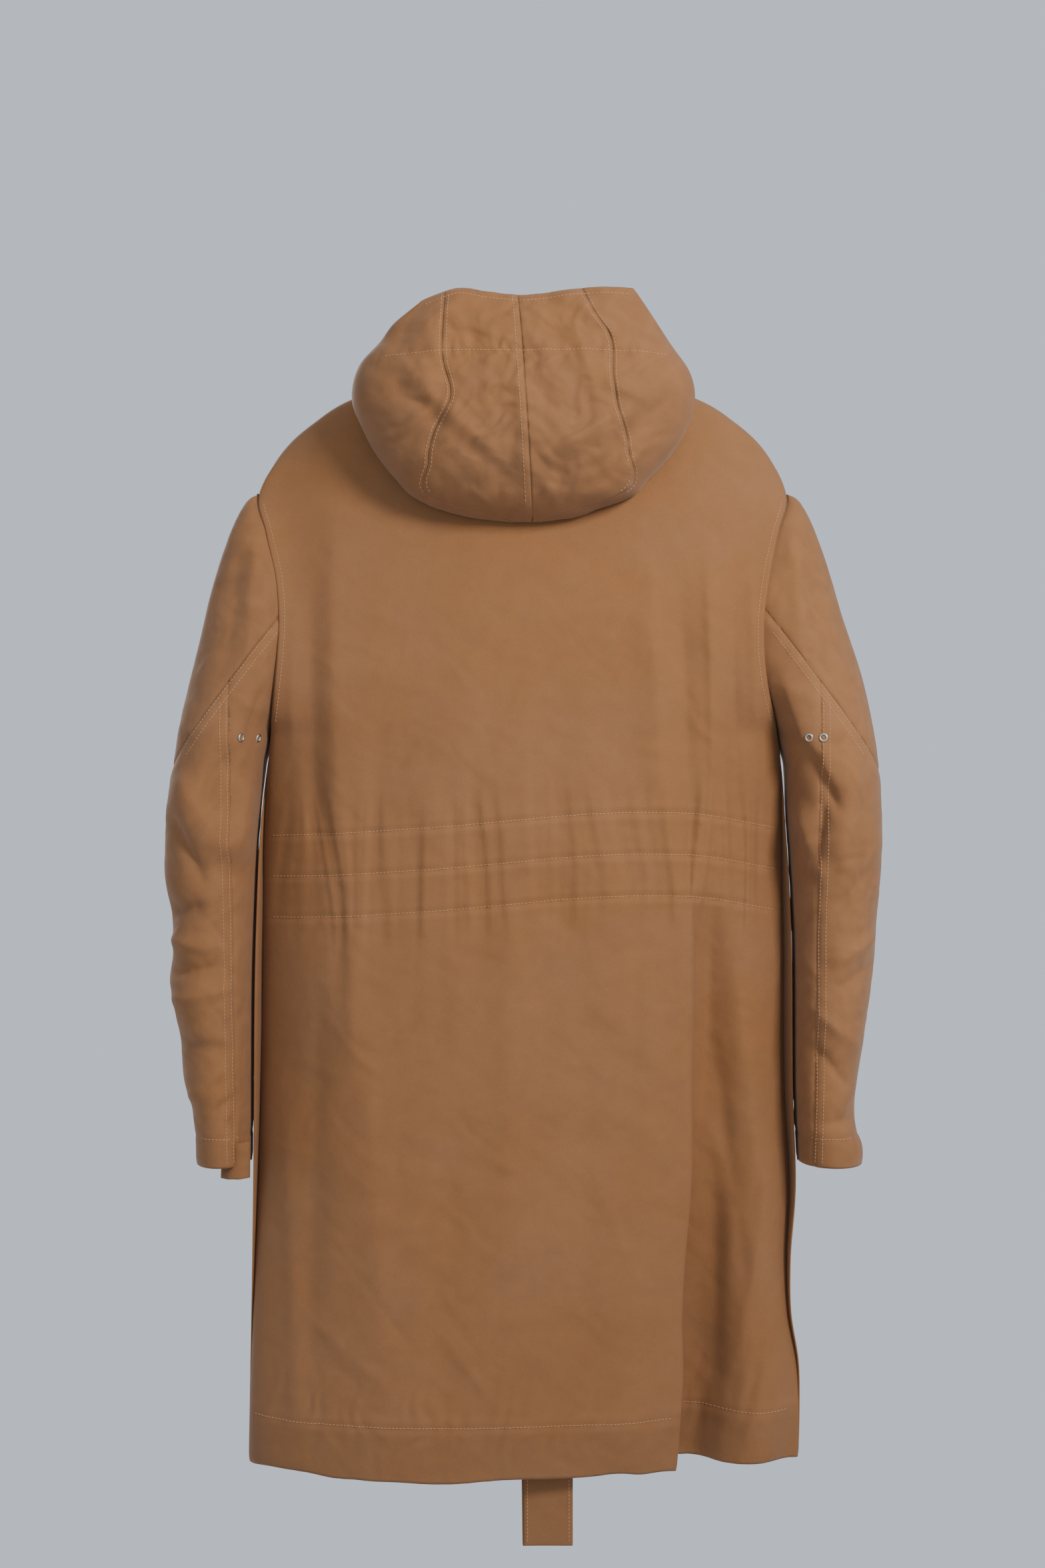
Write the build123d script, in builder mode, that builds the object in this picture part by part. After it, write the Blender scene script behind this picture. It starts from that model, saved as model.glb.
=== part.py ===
"""Hooded cotton parka, hanging unzipped from its neck.

Millimetres.  +Z is up, the zipped front faces -Y and the back faces +Y, so the wearer's left
is +X.  The origin is the middle of the neck, at the height where a hanger carries the shoulders.
"""
from build123d import *
from math import atan2, cos, degrees, hypot, radians, sin
import os

# Cloth
SHELL = 3.0               # the main cloth with its seam allowances
FACING = 2.0              # a facing or turned-up hem behind the main cloth
TAPE = 1.2                # woven tapes, elastic and the strap's own cloth
SEWN_CLEARANCE = 0.4      # between pieces on different bodies that a seam joins
RUNNING_CLEARANCE = 0.5   # around the zip chain inside its slider

# Coat body: heights
NECK_Z = 30.0
SHOULDER_BREAK_Z = 4.0
SHOULDER_SLOPE_Z = -21.0
SHOULDER_TIP_Z = -86.0
CHEST_Z = -204.0
UNDERARM_Z = -314.0
WAIST_Z = -429.0
COAT_LENGTH = 984.0
HEM_Z = -COAT_LENGTH

# Coat body: half widths
NECK_HALF_WIDTH = 84.0
BREAK_HALF_WIDTH = 160.0
SLOPE_HALF_WIDTH = 200.0
TIP_HALF_WIDTH = 246.0
CHEST_HALF_WIDTH = 226.0
UNDERARM_HALF_WIDTH = 236.0
WAIST_HALF_WIDTH = 245.0
HEM_HALF_WIDTH = 255.0

# Coat body: the flat front and back lean apart towards the hem
NECK_HALF_DEPTH = 48.0
HEM_HALF_DEPTH = 86.0
DEPTH_SLOPE = (HEM_HALF_DEPTH - NECK_HALF_DEPTH) / (NECK_Z - HEM_Z)

# Each station: height, half width, half depth at the side, half width of the flat front
BODY_STATIONS = (
    (HEM_Z, HEM_HALF_WIDTH, 45.0, HEM_HALF_WIDTH - 38.0),
    (WAIST_Z, WAIST_HALF_WIDTH, 40.0, WAIST_HALF_WIDTH - 42.0),
    (UNDERARM_Z, UNDERARM_HALF_WIDTH, 38.0, UNDERARM_HALF_WIDTH - 46.0),
    (CHEST_Z, CHEST_HALF_WIDTH, 36.0, CHEST_HALF_WIDTH - 56.0),
    (SHOULDER_TIP_Z, TIP_HALF_WIDTH, 26.0, TIP_HALF_WIDTH - 126.0),
    (SHOULDER_SLOPE_Z, SLOPE_HALF_WIDTH, 22.0, SLOPE_HALF_WIDTH - 110.0),
    (SHOULDER_BREAK_Z, BREAK_HALF_WIDTH, 22.0, BREAK_HALF_WIDTH - 78.0),
    (NECK_Z, NECK_HALF_WIDTH, 30.0, NECK_HALF_WIDTH - 26.0),
)

# Armholes, cut through the sides
ARMHOLE_TOP_Z = -106.0
ARMHOLE_WIDTH = 44.0

# Front opening, hanging unzipped
FRONT_GAP = 90.0
FRONT_TOP_Z = -80.0
FOLD_HEM_X = 210.0        # each front folds back along a line from its neck corner to here
FACING_WIDTH = 40.0

# Zip
ZIP_TAPE_WIDTH = 22.0
ZIP_TAPE_SHOWN = 9.0      # how far the tape stands out of the front edge
ZIP_TAPE_THICKNESS = 1.0
CHAIN_WIDTH = 4.0
CHAIN_HEIGHT = 3.0
ZIP_TOP_Z = -100.0
ZIP_BOTTOM_Z = -930.0
SLIDER_LENGTH = 22.0
SLIDER_WIDTH = 15.0
SLIDER_PLATE = 1.7
POST_WIDTH = 3.0          # the post that joins the slider's two plates
LUG_HEIGHT = 2.0
LUG_LENGTH = 9.0
LUG_WIDTH = 5.0
PULL_THICKNESS = 1.0
PULL_WIDTH = 7.0
PULL_LENGTH = 38.0
PULL_PIN_RADIUS = 0.5
PULL_END = 0.65            # how far the pull reaches above its pin
PIN_CLEARANCE = 0.15

# Storm flap and its snaps
FLAP_WIDTH = 60.0
FLAP_SEAM_INSET = 17.0
FLAP_TOP_Z = -140.0
FLAP_BOTTOM_Z = -905.0
FLAP_THICKNESS = 2.0
SNAP_COUNT = 5
SNAP_RADIUS = 7.5
SNAP_HEIGHT = 2.0
SNAP_EDGE_INSET = 15.0
SNAP_TOP_INSET = 75.0
STUD_RADIUS = 4.5
STUD_PLATE = 1.0
STUD_HEIGHT = 2.5

# Slanted welt pockets in the fronts
POCKET_MIDDLE_Z = -560.0
POCKET_MOUTH_LENGTH = 150.0
POCKET_MOUTH_WIDTH = 12.0
POCKET_FOLD_INSET = 34.0
WELT_WIDTH = 28.0
WELT_THICKNESS = 2.0
BAG_DEPTH = 13.0
BAG_CLOTH = 1.5
BAG_HEIGHT = 235.0
BAG_TOP_MARGIN = 20.0
BAG_SIDE_MARGIN = 8.0

# Hem, waist channels and strap
HEM_DEPTH = 48.0
WAIST_CHANNEL_HEIGHT = 39.0
ELASTIC_WIDTH = 30.0
STRAP_WIDTH = 48.0
STRAP_X = -20.0
STRAP_DROP = 69.0         # how far the strap hangs below the hem
STRAP_LAYER_GAP = 3.0
STRAP_Y = 47.0
TACK_HEIGHT = 24.0
STRAP_SHOULDER = 5.0      # the strap's top corners are this much lower, so that it can swing

# Neck, hanging loop and hood stand
NECK_FACING_DEPTH = 45.0
STAND_HEIGHT = 20.0
LOOP_WIDTH = 6.0
LOOP_SPAN = 60.0
LOOP_REACH = 9.0

# Sleeves.  Each station: height, inner x, outer x, half depth
CUFF_Z = -707.0
SLEEVE_TOP_Z = -92.0
SLEEVE_BODY_GAP = 4.5
SLEEVE_STATIONS = (
    (SLEEVE_TOP_Z, TIP_HALF_WIDTH + 1.5, 264.0, 24.0),
    (-120.0, 242.0, 272.0, 34.0),
    (-168.0, 235.0, 288.0, 50.0),
    (CHEST_Z, CHEST_HALF_WIDTH + SLEEVE_BODY_GAP, 297.0, 60.0),
    (-262.0, 236.0, 312.0, 71.0),
    (UNDERARM_Z, UNDERARM_HALF_WIDTH + SLEEVE_BODY_GAP, 323.0, 80.0),
    (WAIST_Z, WAIST_HALF_WIDTH + SLEEVE_BODY_GAP, 334.0, 82.0),
    (-537.0, 251.5, 330.0, 72.0),
    (-620.0, 253.0, 318.0, 64.0),
    (CUFF_Z, 253.5, 307.0, 58.0),
)
SEAM_ARMHOLE = (227.0, -207.0)     # the back seam leaves the armhole here
SEAM_OUTSIDE = (312.0, -322.0)     # and reaches the outside of the sleeve here
UNDER_SEAM_X = 268.0
UNDER_SEAM_CUFF_X = 264.0
CUFF_DEPTH = 27.0
TAB_WIDTH = 28.0
TAB_X = 265.0
TAB_SHOWN = 12.0
TAB_LENGTH = 34.0
EYELET_ANGLES = (118.0, 142.0)     # round the sleeve from its outside, towards the back
EYELET_RADIUS = 4.0
EYELET_HOLE_RADIUS = 2.2
EYELET_BARREL_RADIUS = 3.0
EYELET_FLANGE = 0.8
EYELET_STAND = 0.5

# Hood, folded back.  Each station: height, half width, near y, far y
HOOD_NEAR_Y = NECK_HALF_DEPTH + SHELL + 3.0
HOOD_SEAM_Z = NECK_Z + 2.0
HOOD_BOTTOM_Z = -118.0
HOOD_STATIONS = (
    (HOOD_BOTTOM_Z, 60.0, HOOD_NEAR_Y + 8.0, HOOD_NEAR_Y + 48.0),
    (-98.0, 98.0, HOOD_NEAR_Y + 2.0, HOOD_NEAR_Y + 70.0),
    (-54.0, 134.0, HOOD_NEAR_Y, HOOD_NEAR_Y + 84.0),
    (-10.0, 152.0, HOOD_NEAR_Y, HOOD_NEAR_Y + 86.0),
    (40.0, 128.0, HOOD_NEAR_Y, HOOD_NEAR_Y + 76.0),
    (90.0, 97.0, HOOD_NEAR_Y, HOOD_NEAR_Y + 58.0),
)
HOOD_RIM_TOP = (HOOD_NEAR_Y + 52.0, 90.0)   # y and z where the rim's line meets the top
HOOD_SEAM_X = 76.0
HOOD_FACING_WIDTH = 46.0

# Beyond everything, for cutting
FAR = 500.0

# The front's own plane: local x is X, local y runs up the front, local z points out of it
FRONT = Plane(
    origin=(0, -(NECK_HALF_DEPTH + DEPTH_SLOPE * NECK_Z), 0),
    x_dir=(1, 0, 0),
    z_dir=(0, -1, DEPTH_SLOPE),
)
UP_THE_FRONT = hypot(1, DEPTH_SLOPE)   # length up the front for each unit of height


def write(piece, node):
    """Label a finished piece and write it as its own node."""
    piece.part.label = node
    export_step(piece.part, f"parts/{node}.step")


def half_depth(z):
    """Half depth of the coat body's flat middle at height z."""
    return NECK_HALF_DEPTH + DEPTH_SLOPE * (NECK_Z - z)


def up(z):
    """Height z as a distance up the front's plane."""
    return z * UP_THE_FRONT


def fold_x(z):
    """Where the line that a front folds back along passes height z."""
    share = (NECK_Z - z) / (NECK_Z - HEM_Z)
    return FRONT_GAP / 2 + share * (FOLD_HEM_X - FRONT_GAP / 2)


def fold_z(x):
    """Height at which that line passes x."""
    share = (x - FRONT_GAP / 2) / (FOLD_HEM_X - FRONT_GAP / 2)
    return NECK_Z - share * (NECK_Z - HEM_Z)


def station_at(stations, z):
    """The sizes of a tapered form at height z, between its stations."""
    ordered = sorted(stations)
    for low, high in zip(ordered, ordered[1:]):
        if low[0] <= z <= high[0]:
            share = (z - low[0]) / (high[0] - low[0])
            return tuple(a + share * (b - a) for a, b in zip(low, high))
    return ordered[0]


def body_form(inset, through):
    """The coat body's form, moved inwards by inset; through runs it past the neck and hem."""
    stations = []
    for z, width, side, flat in BODY_STATIONS:
        lowered = inset if z > SHOULDER_TIP_Z else 0
        stations.append((z - lowered, z, width, side, flat))
    if through:
        hem, neck = BODY_STATIONS[0], BODY_STATIONS[-1]
        stations.insert(0, (HEM_Z - 1, HEM_Z) + hem[1:])
        stations.append((NECK_Z + 1, NECK_Z) + neck[1:])
    with BuildPart() as form:
        for level, z, width, side, flat in stations:
            depth = half_depth(z)
            corners = [
                (flat, -depth), (width, -side), (width, side), (flat, depth),
                (-flat, depth), (-width, side), (-width, -side), (-flat, -depth),
            ]
            with BuildSketch(Plane.XY.offset(level)):
                with BuildLine():
                    Polyline(*corners, close=True)
                make_face()
                if inset:
                    offset(amount=-inset, kind=Kind.INTERSECTION, mode=Mode.REPLACE)
        loft(ruled=True)
    return form.part


def body_band(outer_inset, inner_inset, low, high):
    """A layer of the coat body between two insets and two heights."""
    with BuildPart() as layer:
        add(body_form(outer_inset, outer_inset > 0))
        add(body_form(inner_inset, True), mode=Mode.SUBTRACT)
        with BuildSketch(Plane.XY.offset(low)):
            Rectangle(2 * FAR, 2 * FAR)
        extrude(amount=high - low, mode=Mode.INTERSECT)
    return layer.part


def back_half(layer):
    """The part of a layer behind the side and shoulder seams."""
    with BuildPart() as half:
        add(layer)
        split(bisect_by=Plane.XZ, keep=Keep.BOTTOM)
    return half.part


def front_outline(sign, low, high, edge_inset=0.0, fold_inset=0.0):
    """Corners of a moving front between two heights, in the front's plane."""
    edge = FRONT_GAP / 2 + edge_inset
    return [
        (sign * edge, up(low)),
        (sign * edge, up(high)),
        (sign * (fold_x(high) - fold_inset), up(high)),
        (sign * (fold_x(low) - fold_inset), up(low)),
    ]


def front_plate(corners, outside, thickness):
    """A flat piece of the front whose outer face stands outside the front's plane."""
    with BuildPart() as plate:
        with BuildSketch(FRONT.offset(outside)):
            with BuildLine():
                Polyline(*corners, close=True)
            make_face()
        extrude(amount=-thickness)
    return plate.part


def front_opening(overlap):
    """What the two moving fronts and the gap between them take out of the body."""
    with BuildPart() as opening:
        for sign in (-1, 1):
            corners = front_outline(sign, HEM_Z - FAR, FRONT_TOP_Z)
            add(front_plate(corners, FACING, FACING + overlap))
        with BuildSketch(Plane.XY.offset(HEM_Z - 1)):
            with Locations((0, -FAR / 2)):
                Rectangle(FRONT_GAP, FAR)
        extrude(amount=COAT_LENGTH + FAR)
    return opening.part


def sleeve_form(sign, inset, open_cuff):
    """A sleeve's form, moved inwards by inset; open_cuff runs it past the cuff."""
    stations = list(SLEEVE_STATIONS)
    if open_cuff:
        stations.append((CUFF_Z - TAB_SHOWN,) + SLEEVE_STATIONS[-1][1:])
    with BuildPart() as form:
        for z, inner, outer, depth in stations:
            level = z - inset if z == SLEEVE_TOP_Z else z
            with BuildSketch(Plane.XY.offset(level)):
                with Locations((sign * (inner + outer) / 2, 0)):
                    Ellipse((outer - inner) / 2 - inset, depth - inset)
        loft(ruled=True)
    return form.part


def armhole_form(sign):
    """The armhole, as a bar through the body's side and the sleeve's inner wall."""
    height = ARMHOLE_TOP_Z - UNDERARM_Z
    with BuildPart() as bar:
        with BuildSketch(Plane.YZ.offset(sign * CHEST_HALF_WIDTH - sign * WELT_WIDTH)):
            with Locations((0, (ARMHOLE_TOP_Z + UNDERARM_Z) / 2)):
                RectangleRounded(ARMHOLE_WIDTH, height, ARMHOLE_WIDTH / 2 - 1)
        extrude(amount=sign * 2 * WELT_WIDTH)
    return bar.part


def seam_height(x):
    """Height of a sleeve's back seam, whose line carries on past both of its ends."""
    slope = (SEAM_OUTSIDE[1] - SEAM_ARMHOLE[1]) / (SEAM_OUTSIDE[0] - SEAM_ARMHOLE[0])
    return SEAM_ARMHOLE[1] + slope * (x - SEAM_ARMHOLE[0])


def sleeve_outlines():
    """Outlines, seen from behind, of a sleeve's three panels."""
    near, far = SEAM_ARMHOLE[0] - 60, SEAM_OUTSIDE[0] + 60
    corner = (UNDER_SEAM_X, seam_height(UNDER_SEAM_X))
    foot = (UNDER_SEAM_CUFF_X, CUFF_Z - 1)
    cap = [(near, seam_height(near)), (near, 0), (far, 0), (far, seam_height(far))]
    main = [corner, (far, seam_height(far)), (far, CUFF_Z - 1), foot]
    under = [corner, (near, seam_height(near)), (near, CUFF_Z - 1), foot]
    return {"cap": cap, "main": main, "under": under}


def hood_form(inset):
    """The folded-back hood's form, moved inwards by inset."""
    with BuildPart() as form:
        for z, width, near, far in HOOD_STATIONS:
            level = z + inset if z == HOOD_BOTTOM_Z else z
            with BuildSketch(Plane.XY.offset(level)):
                with Locations((0, (near + far) / 2)):
                    depth = (far - near) / 2
                    RectangleRounded(2 * (width - inset), 2 * (depth - inset), depth * 0.8 - inset)
        loft(ruled=True)
    return form.part


def hood_mouth(below):
    """Everything in front of the hood's mouth, or of a plane the given distance below it."""
    run = HOOD_RIM_TOP[0] - HOOD_NEAR_Y
    rise = HOOD_RIM_TOP[1] - HOOD_SEAM_Z
    length = hypot(run, rise)
    mouth = Plane(
        origin=(0, HOOD_NEAR_Y, HOOD_SEAM_Z),
        x_dir=(1, 0, 0),
        z_dir=(0, -rise / length, run / length),
    )
    with BuildPart() as space:
        with BuildSketch(mouth.offset(-below)):
            Rectangle(2 * FAR, 2 * FAR)
        extrude(amount=FAR)
    return space.part


def hood_layer(outer_inset, inner_inset):
    """A layer of the hood, open at its mouth."""
    with BuildPart() as layer:
        add(hood_form(outer_inset))
        add(hood_form(inner_inset), mode=Mode.SUBTRACT)
        add(hood_mouth(0), mode=Mode.SUBTRACT)
    return layer.part


def slab(low_x, high_x):
    """Everything between two values of x."""
    with BuildPart() as space:
        with BuildSketch(Plane.YZ.offset(low_x)):
            Rectangle(4 * FAR, 4 * FAR)
        extrude(amount=high_x - low_x)
    return space.part


os.makedirs("parts", exist_ok=True)
body_shell = body_band(0, SHELL, HEM_Z, NECK_Z)

# Back of the coat, from shoulder and side seams to the hem
with BuildPart() as back_panel:
    add(back_half(body_shell))
    for sign in (-1, 1):
        add(armhole_form(sign), mode=Mode.SUBTRACT)
write(back_panel, "back_panel")

# Fixed side of each front, with its shoulder and neck
for side, sign in (("left", 1), ("right", -1)):
    with BuildPart() as front_side:
        add(body_shell)
        split(bisect_by=Plane.XZ, keep=Keep.TOP)
        split(bisect_by=Plane.YZ, keep=Keep.TOP if sign > 0 else Keep.BOTTOM)
        add(armhole_form(sign), mode=Mode.SUBTRACT)
        add(front_opening(SHELL + FACING), mode=Mode.SUBTRACT)
    write(front_side, f"front_side_{side}")

# Turned-up hem behind the back and the fixed sides
with BuildPart() as hem_facing_back:
    add(body_band(SHELL, SHELL + FACING, HEM_Z, HEM_Z + HEM_DEPTH))
    add(front_opening(SHELL + FACING + BAG_DEPTH), mode=Mode.SUBTRACT)
write(hem_facing_back, "hem_facing_back")

# Two waist channels behind the back, and the elastic in each
channel_middles = (WAIST_Z - WAIST_CHANNEL_HEIGHT / 2, WAIST_Z + WAIST_CHANNEL_HEIGHT / 2)
channel_low, channel_high = WAIST_Z - WAIST_CHANNEL_HEIGHT, WAIST_Z + WAIST_CHANNEL_HEIGHT
with BuildPart() as waist_channel:
    add(back_half(body_band(SHELL, SHELL + TAPE + FACING, channel_low, channel_high)))
    for middle in channel_middles:
        half = ELASTIC_WIDTH / 2 + SEWN_CLEARANCE
        add(body_band(SHELL, SHELL + TAPE, middle - half, middle + half), mode=Mode.SUBTRACT)
write(waist_channel, "waist_channel")

for name, middle in zip(("lower", "upper"), channel_middles):
    with BuildPart() as waist_elastic:
        half = ELASTIC_WIDTH / 2
        add(back_half(body_band(SHELL, SHELL + TAPE, middle - half, middle + half)))
    write(waist_elastic, f"waist_elastic_{name}")

# Facing inside the back of the neck
with BuildPart() as neck_facing:
    add(back_half(body_band(SHELL, SHELL + FACING, NECK_Z - NECK_FACING_DEPTH, NECK_Z)))
    add(slab(-NECK_HALF_WIDTH + SHELL, NECK_HALF_WIDTH - SHELL), mode=Mode.INTERSECT)
write(neck_facing, "neck_facing")

# Loop to hang the coat by, sewn to the neck facing at both ends
loop_y = half_depth(NECK_Z) - SHELL - FACING
with BuildPart() as hang_loop:
    with BuildSketch(Plane.XY.offset(NECK_Z - LOOP_WIDTH)):
        with Locations((0, loop_y - LOOP_REACH / 2)):
            Rectangle(LOOP_SPAN, LOOP_REACH)
        with Locations((0, loop_y - (LOOP_REACH - TAPE) / 2)):
            Rectangle(LOOP_SPAN - 2 * TAPE, LOOP_REACH - TAPE, mode=Mode.SUBTRACT)
    extrude(amount=LOOP_WIDTH)
write(hang_loop, "hang_loop")

# Stand that the hood is sewn to, round the neck and open at the front
with BuildPart() as hood_stand:
    depth = half_depth(NECK_Z)
    _, width, side_depth, flat = BODY_STATIONS[-1]
    with BuildSketch(Plane.XY.offset(NECK_Z)):
        with BuildLine():
            Polyline(
                (flat, -depth), (width, -side_depth), (width, side_depth), (flat, depth),
                (-flat, depth), (-width, side_depth), (-width, -side_depth), (-flat, -depth),
                close=True,
            )
        make_face()
        offset(amount=-SHELL, kind=Kind.INTERSECTION, mode=Mode.SUBTRACT)
        with Locations((0, -FAR / 2)):
            Rectangle(FRONT_GAP, FAR, mode=Mode.SUBTRACT)
    extrude(amount=STAND_HEIGHT)
write(hood_stand, "hood_stand")

# Strap: one length of cloth hanging doubled from the waist to below the hem
strap_top = WAIST_Z - WAIST_CHANNEL_HEIGHT - SEWN_CLEARANCE
strap_bottom = HEM_Z - STRAP_DROP
strap_depth = 2 * TAPE + STRAP_LAYER_GAP
with BuildPart() as strap:
    with BuildSketch(Plane.XY.offset(strap_bottom)):
        with Locations((STRAP_X, STRAP_Y)):
            Rectangle(STRAP_WIDTH, strap_depth)
    extrude(amount=strap_top - strap_bottom)
    with BuildSketch(Plane.XY.offset(strap_bottom + TAPE)):
        with Locations((STRAP_X, STRAP_Y)):
            Rectangle(STRAP_WIDTH, STRAP_LAYER_GAP)
    extrude(amount=strap_top - strap_bottom, mode=Mode.SUBTRACT)
    for sign in (-1, 1):
        with BuildSketch(Plane.XZ.offset(-FAR / 2)):
            with BuildLine():
                Polyline(
                    (STRAP_X, strap_top), (STRAP_X + sign * STRAP_WIDTH, strap_top),
                    (STRAP_X + sign * STRAP_WIDTH, strap_top - 2 * STRAP_SHOULDER),
                    close=True,
                )
            make_face()
        extrude(amount=FAR, mode=Mode.SUBTRACT)
write(strap, "strap")

# Tack that carries the strap, sewn to the inside of the waist channels
tack_low = strap_top + SEWN_CLEARANCE
tack_near_y = STRAP_Y - strap_depth / 2
with BuildPart() as strap_tack:
    with BuildSketch(Plane.XY.offset(tack_low)):
        with Locations((STRAP_X, (tack_near_y + FAR) / 2)):
            Rectangle(STRAP_WIDTH, FAR - tack_near_y)
    extrude(amount=TACK_HEIGHT)
    add(body_form(SHELL + TAPE + FACING, True), mode=Mode.INTERSECT)
write(strap_tack, "strap_tack")

# Sleeves
cuff_foot = CUFF_Z - TAB_SHOWN
for side, sign in (("left", 1), ("right", -1)):
    # Vent eyelets under the arm, on the back of the sleeve
    _, inner, outer, depth = station_at(SLEEVE_STATIONS, UNDERARM_Z)
    middle, half_width = (inner + outer) / 2, (outer - inner) / 2
    seats = []
    for angle in EYELET_ANGLES:
        across, along = cos(radians(angle)), sin(radians(angle))
        seats.append(Plane(
            origin=(sign * (middle + half_width * across), depth * along, UNDERARM_Z),
            x_dir=(0, 0, 1),
            z_dir=(sign * across / half_width, along / depth, 0),
        ))
    with BuildPart() as eyelets:
        for seat in seats:
            with BuildSketch(seat.offset(EYELET_STAND)):
                Circle(EYELET_RADIUS)
                Circle(EYELET_HOLE_RADIUS, mode=Mode.SUBTRACT)
            extrude(amount=EYELET_FLANGE)
            with BuildSketch(seat.offset(-SHELL - EYELET_STAND)):
                Circle(EYELET_BARREL_RADIUS)
                Circle(EYELET_HOLE_RADIUS, mode=Mode.SUBTRACT)
            extrude(amount=SHELL + 2 * EYELET_STAND)
    write(eyelets, f"eyelets_{side}")

    with BuildPart() as sleeve_tube:
        add(sleeve_form(sign, 0, False))
        add(sleeve_form(sign, SHELL, True), mode=Mode.SUBTRACT)
        add(armhole_form(sign), mode=Mode.SUBTRACT)
        for seat in seats:
            with BuildSketch(seat.offset(-2 * SHELL)):
                Circle(EYELET_BARREL_RADIUS)
            extrude(amount=4 * SHELL, mode=Mode.SUBTRACT)

    for panel, outline in sleeve_outlines().items():
        with BuildPart() as sleeve_panel:
            add(sleeve_tube)
            with BuildSketch(Plane.XZ.offset(-FAR / 2)):
                with BuildLine():
                    Polyline(*[(sign * x, z) for x, z in outline], close=True)
                make_face()
            extrude(amount=FAR, mode=Mode.INTERSECT)
        write(sleeve_panel, f"sleeve_{side}_{panel}")

    # Turned-up cloth inside the cuff
    with BuildPart() as cuff_facing:
        add(sleeve_form(sign, SHELL, False))
        add(sleeve_form(sign, SHELL + FACING, True), mode=Mode.SUBTRACT)
        with BuildSketch(Plane.XY.offset(CUFF_Z)):
            Rectangle(2 * FAR, 2 * FAR)
        extrude(amount=CUFF_DEPTH, mode=Mode.INTERSECT)
    write(cuff_facing, f"cuff_facing_{side}")

# Tab inside the back of the left cuff, showing below it
with BuildPart() as cuff_tab_left:
    add(sleeve_form(1, SHELL + FACING, True))
    add(sleeve_form(1, SHELL + FACING + TAPE, True), mode=Mode.SUBTRACT)
    with BuildSketch(Plane.XY.offset(cuff_foot)):
        with Locations((TAB_X, FAR / 2)):
            Rectangle(TAB_WIDTH, FAR)
    extrude(amount=TAB_LENGTH, mode=Mode.INTERSECT)
write(cuff_tab_left, "cuff_tab_left")

# Hood: two crown panels and two side panels, with a facing that makes the rim's tunnel
hood_shell = hood_layer(0, SHELL)
for side, sign in (("left", 1), ("right", -1)):
    with BuildPart() as hood_crown:
        add(hood_shell)
        add(slab(min(0, sign * HOOD_SEAM_X), max(0, sign * HOOD_SEAM_X)), mode=Mode.INTERSECT)
    write(hood_crown, f"hood_crown_{side}")
    with BuildPart() as hood_side:
        add(hood_shell)
        seam_x, far_x = sign * HOOD_SEAM_X, sign * FAR
        add(slab(min(seam_x, far_x), max(seam_x, far_x)), mode=Mode.INTERSECT)
    write(hood_side, f"hood_side_{side}")

with BuildPart() as hood_rim_facing:
    add(hood_layer(SHELL, SHELL + FACING))
    add(hood_mouth(HOOD_FACING_WIDTH), mode=Mode.INTERSECT)
    with BuildSketch(Plane.XZ.offset(-HOOD_NEAR_Y)):
        Rectangle(2 * FAR, 2 * FAR)
    extrude(amount=-SHELL - FACING, mode=Mode.SUBTRACT)
write(hood_rim_facing, "hood_rim_facing")

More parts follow.
